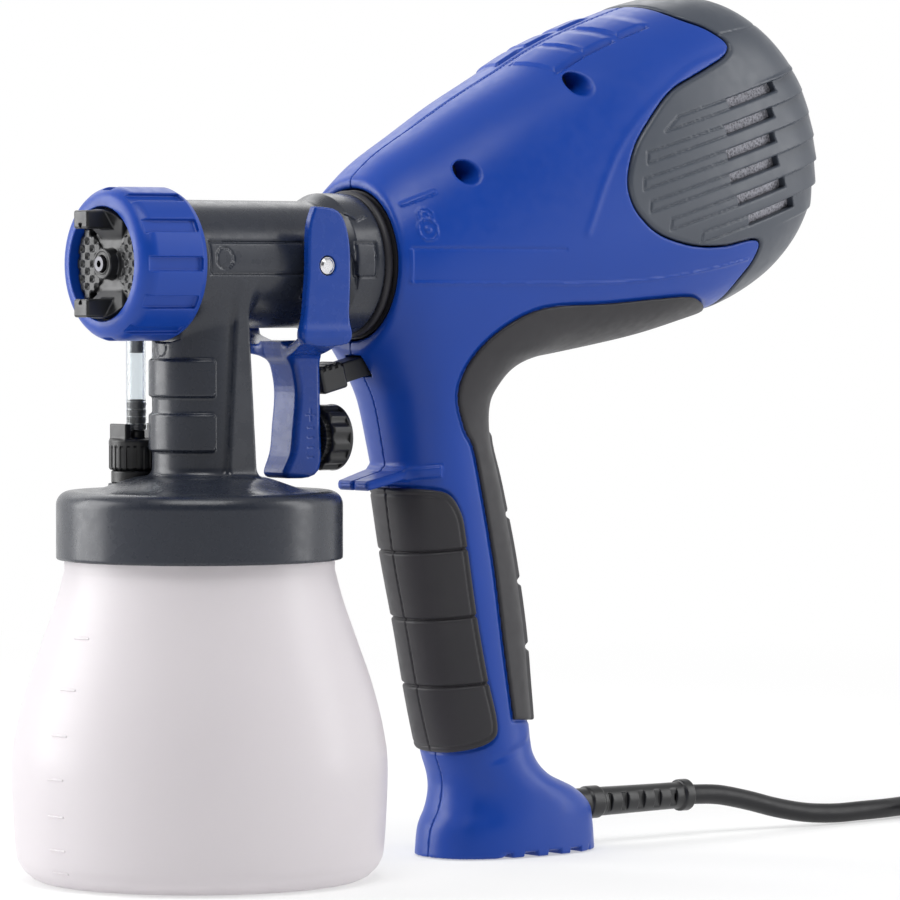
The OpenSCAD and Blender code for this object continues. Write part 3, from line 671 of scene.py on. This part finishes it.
def cover_marks(px, pz):
    """Engraved outlines of the louvre channels, and the through slots' distance."""
    u, v = tilted(px, pz)
    level = v - LOUVRE_SLANT * (u - 145)
    marks = np.zeros(px.shape)
    slots = np.full(px.shape, 50.0)
    for i, (start, slot) in enumerate(zip(CHANNEL_STARTS, SLOT_STARTS)):
        at = LOUVRE_TOP - LOUVRE_PITCH * i
        low, high = at - LOUVRE_HALF, at + LOUVRE_HALF
        slant = 8 if i == 0 else 1.5
        rim = line(u, level, [(slot + SLOT_LENGTH, high), (start + slant, high), (start, low), (slot + SLOT_LENGTH, low)])
        marks = marks - groove(rim, 0.6, 0.55)
        end = slot + SLOT_LENGTH
        slots = np.minimum(slots, polygon(u, level, [(slot, low), (end, low), (end, high), (slot, high)]))
    phase = ((LOUVRE_TOP + LOUVRE_HALF - level) / LOUVRE_PITCH) % 1
    shingle = phase * (1 - smooth_step(phase, 0.93, 1.0))
    inside = smooth_step(LOUVRE_TOP + 4 - level, 0, 1) * smooth_step(level - LOUVRE_TOP + LOUVRE_PITCH * 6 - 2, 0, 1)
    marks = marks + inside * (shingle - 0.5) * 2.0 * smooth_step(u, 160, 190) * (1 - smooth_step(u, 194, 204))
    crease = line(u, v, [(160, 34.8), (168.6, 33.2), (196, 28.6)])
    return [marks - groove(crease, 0.6, 0.4), slots]


COVER_MARKS = SideMap(cover_marks, (-285, 165), (-140, 330), 0.35)


def rear_cover(x, y, z):
    bare = body(x, y, z)
    cover, _, _ = OUTLINES(x, z)
    marks, slots = COVER_MARKS(x, z)
    d = softmax(bare - 0.3 - marks, cover + 0.1, 1.6)
    back, _ = tilted(x, z)
    d = np.maximum(d, -np.maximum(bare + WALL, back - CAVITY_END))
    return cut(d, np.maximum(slots, 20 - np.abs(y)), 0.5)


def mesh_field(name, shape, low, high, step, material, body_name, node, fit=2):
    """A mesh where the field is zero. The grid is worked out only in blocks near the surface."""
    block = 8
    low, high = np.array(low, float), np.array(high, float)
    blocks = np.ceil((high - low) / step / block).astype(int)
    size = block * step
    centres = [low[k] + (np.arange(blocks[k]) + 0.5) * size for k in range(3)]
    mesh = np.meshgrid(*centres, indexing="ij")
    rough = shape(*[m.ravel() for m in mesh]).reshape(blocks)
    near = np.abs(rough) < size * 0.9 * 1.35 + 1.5
    far = 3 * step
    values = np.empty((*blocks, block, block, block), np.float32)
    values[:] = np.where(rough > 0, far, -far)[..., None, None, None]
    spots = np.argwhere(near)
    offsets = (np.arange(block)) * step
    ox, oy, oz = np.meshgrid(offsets, offsets, offsets, indexing="ij")
    found = np.empty((len(spots), block**3), np.float32)
    for start in range(0, len(spots), 4000):
        part = spots[start:start + 4000]
        base = low + part * size
        args = [(base[:, k, None] + o.ravel()[None, :]) for k, o in enumerate((ox, oy, oz))]
        found[start:start + 4000] = np.clip(shape(*args), -far, far)
    values[near] = found.reshape(-1, block, block, block)
    values = values.transpose(0, 3, 1, 4, 2, 5).reshape(blocks * block)
    grid = vdb.FloatGrid(far)
    grid.copyFromArray(np.ascontiguousarray(values))
    points, quads = grid.convertToQuads(0.0)
    points = low + np.array(points, float) * step
    small = step * 0.25

    def slope(p):
        out = np.empty_like(p)
        for k in range(3):
            move = np.zeros(3)
            move[k] = small
            out[:, k] = shape(*(p + move).T) - shape(*(p - move).T)
        return out / (2 * small)

    for _ in range(fit):
        g = slope(points)
        d = shape(*points.T)
        push = (d / np.maximum((g * g).sum(1), 0.2))[:, None] * g
        long = np.linalg.norm(push, axis=1, keepdims=True)
        points = points - push * np.minimum(1, 0.5 * step / np.maximum(long, 1e-9))
    normals = slope(points)
    normals /= np.maximum(np.linalg.norm(normals, axis=1, keepdims=True), 1e-9)
    quads = np.array(quads)
    a, b, c = (points[quads[:, k]] for k in (0, 1, 2))
    if (np.cross(b - a, c - a) * normals[quads[:, 0]]).sum() < 0:
        quads = quads[:, ::-1]
    return new_piece(name, points * MM, quads, normals, material, body_name, node)


def new_piece(name, points, quads, normals, material, body_name, node):
    """A smooth piece of four-sided faces that rides a body and may stand for a CAD node."""
    data = bpy.data.meshes.new(name)
    data.vertices.add(len(points))
    data.vertices.foreach_set("co", np.asarray(points, np.float32).ravel())
    data.loops.add(quads.size)
    data.loops.foreach_set("vertex_index", quads.astype(np.int32).ravel())
    data.polygons.add(len(quads))
    data.polygons.foreach_set("loop_start", np.arange(0, quads.size, 4, dtype=np.int32))
    data.update(calc_edges=True)
    data.validate()
    data.polygons.foreach_set("use_smooth", np.ones(len(data.polygons), bool))
    if normals is not None:
        data.normals_split_custom_set_from_vertices(normals)
    ob = bpy.data.objects.new(name, data)
    bpy.context.scene.collection.objects.link(ob)
    data.materials.append(material)
    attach(ob, body_name)
    if node:
        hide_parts(node)
    return ob


def mirrored(shape):
    return lambda x, y, z: shape(x, -y, z)


# ---------------------------------------------------------------- housing, grips and cover
def make_housing():
    low, high = (-272, -1, -1.6), (-60, 52, 320)
    step = 0.8
    mesh_field("left_housing", lambda x, y, z: shell(x, y, z, True), low, high, step,
               BLUE, "power_unit", "left_shell")
    mesh_field("right_housing", mirrored(lambda x, y, z: shell(x, y, z, False)),
               (low[0], -high[1], low[2]), (high[0], 1, high[2]), step,
               BLUE, "power_unit", "right_shell")
    mesh_field("front_grip_pads", front_grip, (-122, -26, 32), (-78, 26, 140), step * 0.75,
               RUBBER, "power_unit", "front_grip")
    mesh_field("back_grip_strip", back_grip, (-224, -50, 40), (-90, 50, 208), step,
               RUBBER, "power_unit", "back_grip")
    mesh_field("louvred_cover", rear_cover, (-274, -52, 192), (-150, 52, 320), step * 0.75,
               COVER_GREY, "filter_cover", "rear_cover")


# ---------------------------------------------------------------- barrel, pillar and lid
def frame_line(x, z, low, high):
    """Distance to the outline of a rectangle in the side view."""
    dx = np.abs(x - (low[0] + high[0]) / 2) - (high[0] - low[0]) / 2
    dz = np.abs(z - (low[1] + high[1]) / 2) - (high[1] - low[1]) / 2
    return np.abs(np.minimum(np.maximum(dx, dz), 0) + np.hypot(np.maximum(dx, 0), np.maximum(dz, 0)))


def barrel(x, y, z):
    radial = from_axis(y, z)
    tube = rod(x, radial, -50, 14, 22.5, 0.8)
    tube = round_min(tube, rod(x, radial, 5, 32.6, 21.4), 0.5)
    flare = np.maximum(radial - 25.4, radial * 0.9 + (x + 45) * 0.44 - 20.25)
    flare = round_max(flare, np.maximum(-63 - x, x + 44), 0.8)
    side = np.abs(y)
    scoop = np.maximum(np.hypot(x + 30, z - 208) - 21.5, 23.4 - side)
    d = softmin(tube, cut(flare, scoop, 0.5), 1.5)
    near_side = smooth_step(side, 12, 16)
    panel = frame_line(x, z, (-29.7, 211.8), (10.6, 223))
    d = d + groove(panel, 0.6, 0.7) * near_side
    d = d + 0.35 * smooth_step(-x, -10.6, -10) * smooth_step(x, -29.7, -29) * near_side * (np.abs(z - 217.4) < 5.6)
    d = d + groove(np.hypot(x - 4.5, z - 217.3) - 3.6, 0.45, 0.35) * near_side
    d = d + groove(frame_line(x, z, (-59, 211), (-50.5, 223)), 0.55, 0.6) * near_side
    chevron = line(x, z, [(-50, 233.5), (-53.5, 231), (-58.5, 232.5)])
    d = d - groove(chevron, 0.6, 0.5) * near_side
    return cut(d, box(x + 33, side, z - 205.5, (-3, 17, -2.2), (3, 23, 2.2), 0.3), 0.4)


def pillar(x, y, z):
    side = np.abs(y)
    round_part = np.hypot(x + 0.2, y) - 16.8
    d = round_max(round_part, -9.5 - x, 1.2)
    grow = np.hypot(x + 0.2, y) - 18.0
    for low in (150, 169):
        band = round_max(np.maximum(grow, 5 - x), np.abs(z - low - 6.5) - 6.5, 0.8)
        d = softmin(d, band, 0.8)
    half = 6.5 - 4.2 * (z - LID_TOP) / 70
    rib = round_max(np.abs(x + 5.5) - half, np.abs(side - 16.3) - 2.5, 1.0)
    d = softmin(d, rib, 1.5)
    mark = np.abs(np.hypot(y, z - 186) - 3.2)
    d = d + groove(mark, 0.5, 0.3) * smooth_step(x, 9, 12)
    d = np.maximum(d, np.abs(z - 170) - 36)
    return cut(d, np.maximum(from_axis(y, z) - 27.4, 14 - x), 0.4)


def lid(x, y, z):
    radial = np.hypot(x, y)
    top = LID_TOP + 5 * (1 - smooth_step(radial, 19, 40))
    d = round_max(radial - 50.3, z - top, 5.0)
    d = round_max(d, 112 - z, 0.8)
    return cut(d, np.maximum(radial - 48.6, z - 131), 0.5)


def front_casting(x, y, z):
    d = softmin(barrel(x, y, z), pillar(x, y, z), 5.0)
    d = softmin(d, lid(x, y, z), 3.5)
    valve_seat = rod(z, np.hypot(x - VALVE[0], y - VALVE[1]), 134, 138.2, 10)
    d = softmin(d, valve_seat, 1.5)
    radial = from_axis(y, z)
    d = cut(d, np.maximum(np.hypot(x - VALVE[0], y - VALVE[1]) - 9.9, 138 - z), 0.3)
    bore = np.maximum(radial - 18, np.maximum(-70 - x, x - 8))
    core = np.minimum(np.maximum(radial - 6.5, -42 - x), np.hypot(x, y) - 6.5 + 100 * (z > AXIS_Z))
    d = cut(d, np.maximum(bore, -core), 0.5)
    d = cut(d, np.maximum(np.hypot(x, y) - 3, z - AXIS_Z), 0.3)
    d = cut(d, np.maximum(np.hypot(x, y) - 4.5, z - 142), 0.3)
    return cut(d, np.maximum(radial - 2.4, x + 1 - 42), 0.3)


# ---------------------------------------------------------------- ring, air cap, trigger and controls
def retaining_ring(x, y, z):
    radial = from_axis(y, z)
    outer = round_max(radial - 26.85 - np.minimum(0, (x - 17) * 0.45), x - 41.5, 6.0)
    d = round_max(outer, 14.5 - x, 0.5)
    out, across = spokes(y, z, 12)
    slot = round_max(np.abs(across) - 2.5, 25.35 - out, 0.5)
    d = cut(d, round_max(slot, np.abs(x - 28.3) - 11.2, 1.0), 0.5)
    hole = np.minimum(np.maximum(radial - 22, x - 37.2), radial - 19.8)
    return cut(d, hole, 0.5)


def air_cap(x, y, z):
    radial = from_axis(y, z)
    side, height = np.abs(y), np.abs(z - AXIS_Z)
    d = rod(x, radial, 33, 36.9, 21.4)
    sector = smooth_step(side - height * 0.95, -0.6, 0.6)
    dent = np.maximum(np.cos(side * 1.2), 0) * np.maximum(np.cos(height * 1.2), 0)
    dent = dent + np.maximum(-np.cos(side * 1.2), 0) * np.maximum(-np.cos(height * 1.2), 0)
    face = 37.7 + 0.9 * smooth_step(radial, 6, 17) * sector - 0.75 * dent * sector * smooth_step(radial, 7.5, 8.5)
    face = face - 2.2 * (1 - sector) * (1 - smooth_step(radial, 15, 19))
    d = np.minimum(d, round_max(radial - 19.2, np.maximum(x - face, 34 - x), 0.6))
    d = softmin(d, rod(x, radial, 34, 41.3, 5.4, 0.6), 0.6)
    horn = round_max(side - 4.3, np.abs(height - 15.3) - 3.2, 0.9)
    horn = round_max(horn, np.abs(x - 42.2) - 8.0, 0.9)
    valley = round_max(side - height * 0.9 + 1.5, x - 34.6 - np.maximum(height - 5, 0) * 0.62, 0.5)
    valley = np.maximum(valley, np.maximum(radial - 18.8, 34 - x))
    d = softmin(softmin(d, valley, 0.5), horn, 0.8)
    d = cut(d, np.hypot(radial - 4.0, x - 41.5) - 0.45, 0.2)
    d = cut(d, np.maximum(radial - 3.0, 37.9 - x), 0.3)
    d = cut(d, np.maximum(radial - 5, x - 39.5), 0.3)
    d = cut(d, np.hypot(side - 10.5, height - 10.8) - 1.1, 0.3)
    jet = (x - 47) * 0.77 + (height - 11.3) * 0.64
    across = np.hypot((height - 11.3) * 0.77 - (x - 47) * 0.64, y)
    return cut(d, np.maximum(across - 0.9, np.abs(jet) - 4), 0.3)


ARM_EDGE = [
    (-29, 235.5), (-39, 234), (-43.5, 226), (-44.5, 214), (-44, 199), (-43, 188), (-25, 188),
    (-25, 200), (-26, 212), (-26.5, 228),
]
FINGER_EDGE = [
    (-31, 188), (-40, 188), (-46.8, 185.5), (-47.6, 176), (-47.8, 160), (-47.4, 142), (-36, 139.5),
    (-32, 141.5), (-35, 149), (-36, 158), (-37, 170), (-35, 180),
]


def trigger_outlines(px, pz):
    arm = catmull([*ARM_EDGE, ARM_EDGE[0]], 5)[:-1]
    finger = catmull([*FINGER_EDGE, FINGER_EDGE[0]], 5)[:-1]
    scale = line(px, pz, [(-42.6, 160), (-42.6, 164)])
    for at in (147, 150.5, 154, 157.5):
        scale = np.minimum(scale, line(px, pz, [(-43.8, at), (-41.4, at)]))
    scale = np.minimum(scale, line(px, pz, [(-44.6, 162), (-40.6, 162)]))
    return [polygon(px, pz, arm), polygon(px, pz, finger), scale]


TRIGGER_MAP = SideMap(trigger_outlines, (-52, 136), (-20, 242), 0.25)


def trigger(x, y, z):
    """Two arms that curve in below the barrel to one narrow finger piece, hollow at its back."""
    arm_edge, finger_edge, scale = TRIGGER_MAP(x, z)
    side = np.abs(y)
    arm = round_max(arm_edge, np.abs(side - 27.6) - 1.8, 0.9)
    out = np.clip((side - 5) / 22.6, 0, 1)
    saddle = np.abs(z - 184.5 - 6 * out**1.7) - 1.8
    ends = np.maximum(x + 32.5 - 8 * out, -46.5 + 3.5 * out - x)
    saddle = round_max(saddle, np.maximum(ends, side - 29.4), 1.2)
    finger = round_max(finger_edge, side - 8 + 0.5 * smooth_step(-z, -150, -141), 2.4)
    d = softmin(softmin(arm, saddle, 4.0), finger, 4.0)
    d = d + groove(scale, 0.4, 0.25) * smooth_step(y, 6, 7.5)
    hollow = np.maximum(box(x, y, z, (-60, -6.2, 143), (-41, 6.2, 183), 1.0), z - 171)
    d = cut(d, hollow, 0.5)
    d = softmin(d, rod(x, np.hypot(y, z - KNOB_Z), -48, -40, 6), 0.6)
    d = cut(d, np.hypot(x - PIVOT[0], z - PIVOT[1]) - 3.5, 0.3)
    return cut(d, np.maximum(np.hypot(y, z - KNOB_Z) - 3.0, x + 39), 0.3)


def flow_knob(x, y, z):
    radial = from_axis(y, z, KNOB_Z)
    d = rod(x, radial, -59, -50.2, 11.9, 0.9)
    out, across = spokes(y, z, 12, 0, KNOB_Z)
    d = cut(d, np.maximum(np.hypot(across, out - 13.4) - 2.4, -57.2 - x), 0.6)
    tooth_phase = (np.arctan2(y, z - KNOB_Z) * 18 / math.pi) % 1
    collar = rod(x, radial, -52, -48.3, 9.7, 0.4) + 0.35 * (np.abs(tooth_phase - 0.5) < 0.25) * smooth_step(radial, 6, 7)
    d = np.minimum(d, collar)
    return cut(d, np.maximum(radial - 3.06, -58.2 - x), 0.2)


def plunger(x, y, z):
    turn = math.radians(14)
    dx, dz = x + 60, z - 176.5
    a = dx * math.cos(turn) - dz * math.sin(turn)
    b = dx * math.sin(turn) + dz * math.cos(turn)
    head = box(a, y, b, (0, -6, -5), (11.2, 6, 4.8), 1.2)
    phase = (a - 1.0) / 2.8 % 1
    ridge = 0.8 * smooth_step(np.abs(phase - 0.5), 0.2, 0.32) * (b > 3) * (a < 10.5)
    stem = box(a, y, b, (-22, -4, -3.7), (2, 4, 3.7), 0.6)
    return np.minimum(head + ridge, stem)


def strain_relief(x, y, z):
    radial = np.hypot(y, z - 15.5)
    taper = 5.5 - 0.5 * smooth_step(-x, 165, 225)
    d = round_max(radial - taper, np.abs(x + 183.5) - 41.4, 0.5)
    d = softmin(d, rod(x, radial, -166.5, -162, 6.6, 0.7), 0.6)
    d = softmin(d, rod(x, radial, -181, -175, 6.1, 0.7), 0.6)
    d = softmin(d, rod(x, radial, -225, -220.5, 6.0, 0.7), 0.6)
    phase = (x + 219) % 8 - 4
    window = round_max(np.abs(phase) - 1.5, np.abs(z - 15.5) - 3.2, 0.4)
    window = np.maximum(np.maximum(window, 3.9 - np.abs(y)), np.maximum(-219 - x, x + 183))
    d = cut(d, window, 0.4)
    return cut(d, np.maximum(radial - 3.8, x + 216), 0.3)


def plug(x, y, z):
    """Moulded mains plug that lies on the coil, its blades to the left."""
    px, py, pz = x - (COIL_AT[0] - 41), y - COIL_AT[1], z - (COIL_H + 8.5)
    waist = 2.2 * np.exp(-(((py + 4) / 6.5) ** 2))
    d = box(px, py, pz, (-12, -16, -8.5), (12, 10, 8.5), 4.0) + waist * smooth_step(np.abs(px), 6, 12)
    ridges = groove(((py + 3) % 2.6) - 1.3, 0.7, 0.5) * (py > -9) * (py < 3) * smooth_step(np.abs(px), 7, 9)
    neck = round_max(np.hypot(px, pz) - 5.6 - 0.06 * (py + 32), np.abs(py + 22) - 10, 0.8)
    rings = 0.6 * (np.abs(((py + 30) / 3.4) % 1 - 0.5) < 0.2) * (py < -17)
    return softmin(d + ridges, neck + rings, 3.0)


def valve_base(x, y, z):
    radial = np.hypot(x - VALVE[0], y - VALVE[1])
    d = np.minimum(rod(z, radial, 138, 142.4, 9, 0.5), rod(z, radial, 140, 145, 7.4, 0.3))
    return cut(d, radial - 2.5, 0.3)


def valve_cap(x, y, z):
    px, py = x - VALVE[0], y - VALVE[1]
    radial = np.hypot(px, py)
    d = rod(z, radial, 142.6, 153.6, 9.8, 1.0)
    phase = (np.arctan2(py, px) * 12 / math.pi) % 1
    d = d + 0.45 * (np.abs(phase - 0.5) < 0.25) * (1 - smooth_step(z, 150.5, 151.5)) * smooth_step(radial, 8.5, 9)
    wing = round_max(np.abs(np.abs(px) - 7) - 1.2, np.maximum(np.abs(py) - 5, np.abs(z - 155.5) - 3.5), 0.5)
    d = softmin(d, wing, 0.8)
    d = softmin(d, rod(z, radial, 150, 156.6, 2.9), 0.8)
    barb = 2.35 + 0.25 * ((z / 2.6) % 1) * (z > 157)
    d = np.minimum(d, round_max(radial - barb, np.abs(z - 160) - 7.6, 0.3))
    d = cut(d, np.maximum(radial - 7.7, z - 149.6), 0.3)
    return cut(d, radial - 1.4, 0.2)


# ---------------------------------------------------------------- turned pieces
def lathe(name, profile, material, body_name, node, sides):
    """A piece turned about the upright axis from a closed profile of (radius, height), in millimetres."""
    profile = np.array(profile, float)
    angles = np.arange(sides) * 2 * math.pi / sides
    r, h = profile[:, 0][None, :], profile[:, 1][None, :]
    a, b = r * np.cos(angles)[:, None], r * np.sin(angles)[:, None]
    points = np.stack(np.broadcast_arrays(a, b, h), axis=-1)
    count = len(profile)
    i, j = np.meshgrid(np.arange(sides), np.arange(count), indexing="ij")
    ni, nj = (i + 1) % sides, (j + 1) % count
    faces = np.stack([i * count + j, ni * count + j, ni * count + nj, i * count + nj], axis=-1).reshape(-1, 4)
    points = points.reshape(-1, 3)
    ring = points[faces]
    volume = (ring[:, 0] * np.cross(ring[:, 1], ring[:, 2])).sum() + (ring[:, 0] * np.cross(ring[:, 2], ring[:, 3])).sum()
    if volume < 0:
        faces = faces[:, ::-1]
    ob = new_piece(name, points * MM, faces, None, material, body_name, node)
    ob.data.set_sharp_from_angle(angle=math.radians(35))
    return ob


CUP_SIDE = [
    (59.5, 1.2), (63, 5), (64.8, 12), (66, 38), (64.5, 52), (60.5, 68), (55, 84), (50.5, 97), (47.5, 108),
]


def make_cup():
    side = catmull(CUP_SIDE, 8)
    wall = 1.6
    inner = [(r - wall, max(h, 3.2)) for r, h in side[::-1]]
    foot = [(0.05, 1.0), (52, 1.0), (53.5, 0.2), (57, 0.0)]
    rim = [(47.5, 127.4), (47.0, 128), (46.4, 128), (45.9, 127.4)]
    thread = [(47.5, h) for h in (112, 118, 124)]
    profile = [*foot, *map(tuple, side), *thread, *rim, *inner, (0.05, 3.2)]
    lathe("cup_jar", profile, MILKY, "cup_body", "cup", 192)


TICKS = (86.5, 69, 53.5, 38.5, 25.7, 14, 6)
TICK_AT = math.radians(6)


def cup_ticks(x, y, z):
    """Raised graduation ticks on the cup's front."""
    side = catmull(CUP_SIDE, 8)
    radius = np.interp(z, side[:, 1], side[:, 0])
    off = np.hypot(x, y) - radius
    across = (np.arctan2(y, x) - TICK_AT) * radius
    bars = [round_max(np.abs(z - at) - 0.4, np.maximum(np.abs(across) - 4, np.abs(off) - 0.45), 0.3) for at in TICKS]
    return np.minimum.reduce(bars)


# ---------------------------------------------------------------- cord
def coil_line():
    """The cord's whole line, from its exit to the plug, in millimetres."""
    free = catmull(CORD_ROUTE, 6)
    cx, cy = COIL_AT
    start = math.atan2(free[-1][1] - cy, free[-1][0] - cx)
    lanes = [48.3, 40.7, 33.1, 33.1, 40.7, 48.3, 48.3]
    per_turn = 96
    turn = np.arange(2, int(6.09 * per_turn)) / per_turn
    lane = turn.astype(int)
    move = smooth_step(turn % 1, 0.78, 0.98)
    radius = np.take(lanes, lane) * (1 - move) + np.take(lanes, np.minimum(lane + 1, 6)) * move
    height = 3.8 + 7.7 * smooth_step(turn, 2.72, 3.0) + 9.5 * smooth_step(turn, 5.82, 6.12)
    angle = start - 2 * math.pi * turn
    coil = np.column_stack([cx + radius * np.cos(angle), cy + radius * np.sin(angle), height])
    lead = [
        (cx - 22, cy - 46, 22.2), (cx - 33, cy - 41.5, 23.3), (cx - 39.5, cy - 35, 23.5), (cx - 41, cy - 30, 23.5),
        (cx - 41, cy - 24, 23.5),
    ]
    return np.vstack([free[:-1], coil[:-1], catmull([coil[-1], *lead], 6)])


def cord_tie(x, y, z):
    """A strap round the coil's turns, with its end lapped over the top."""
    px, py = x - COIL_AT[0], y - COIL_AT[1]
    inner = box(px, py, z, (-20, 29.2, 0.0), (20, 52.3, 15.5), 3.0)
    outer = box(px, py, z, (-6, 28.0, -0.35), (6, 53.5, 16.7), 0.5)
    lap = box(px, py, z, (-6, 37, 16.0), (6, 50, 17.6), 0.5)
    return np.minimum(round_max(outer, -inner, 0.15), lap)


def make_cord():
    small("cord_tie", cord_tie, (-416, 38, -1), (-400, 67, 19), 0.4,
          RUBBER, "power_unit", None, "soft_rubber")
    small("mains_plug", plug, (-463, -22, 14), (-435, 24, 34), 0.4,
          CORD, "power_unit", "plug_body", "cord_rubber")
    path = coil_line()
    curve = bpy.data.curves.new("mains_cord", "CURVE")
    curve.dimensions = "3D"
    curve.bevel_depth = CORD_D / 2 * MM
    curve.bevel_resolution = 6
    curve.use_fill_caps = True
    spline = curve.splines.new("POLY")
    spline.points.add(len(path) - 1)
    spline.points.foreach_set("co", np.column_stack([path * MM, np.ones(len(path))]).ravel())
    cord = bpy.data.objects.new("mains_cord", curve)
    bpy.context.scene.collection.objects.link(cord)
    curve.materials.append(CORD)
    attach(cord, "power_unit")
    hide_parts("power_cord", "cord_coil")


def small(name, shape, low, high, step, material, body_name, node, slot_name):
    return mesh_field(name, shape, low, high, step * (1), material, body_name, node)


def make_front():
    small("front_casting", front_casting, (-65, -52, 110), (52, 52, 243), 0.7,
          GREY, "front_end", "front_body", "grey_plastic")
    small("grip_ring", retaining_ring, (13.5, -28, 187), (42.5, 28, 244), 0.35,
          BLUE, "ring_body", "retaining_ring", "blue_plastic")
    small("air_cap_face", air_cap, (32, -22.5, 192.5), (51, 22.5, 238), 0.3,
          BLACK, "air_cap_body", "air_cap", "black_plastic")
    small("trigger_lever", trigger, (-50, -31, 138), (-20, 31, 238), 0.4,
          TRIGGER_BLUE, "trigger_body", "trigger", "blue_plastic")
    small("knob", flow_knob, (-60, -13, 140.5), (-47, 13, 166.5), 0.3,
          BLACK, "knob_body", "flow_knob", "black_plastic")
    small("plunger_head", plunger, (-84, -7, 164), (-43, 7, 190), 0.35,
          BLACK, "plunger", "switch_plunger", "black_plastic")
    small("check_valve_base", valve_base, (-3, -38.5, 137), (18, -17.5, 146), 0.35,
          BLACK, "front_end", "valve_base", "black_plastic")
    small("check_valve_cap", valve_cap, (-4, -39.5, 141.6), (19, -16.5, 168.4), 0.35,
          BLACK, "front_end", "valve_cap", "black_plastic")
    small("cord_boot", strain_relief, (-226.5, -8, 7), (-140, 8, 24), 0.35,
          BLACK, "power_unit", "strain_relief", "cord_rubber")
    small("graduation", cup_ticks, (48, -6, 4), (67.5, 15, 89), 0.35,
          MILKY, "cup_body", None, "cup_plastic")


make_camera()
make_cord()
make_stage()
dress_nodes()
make_front()
make_cup()
make_housing()
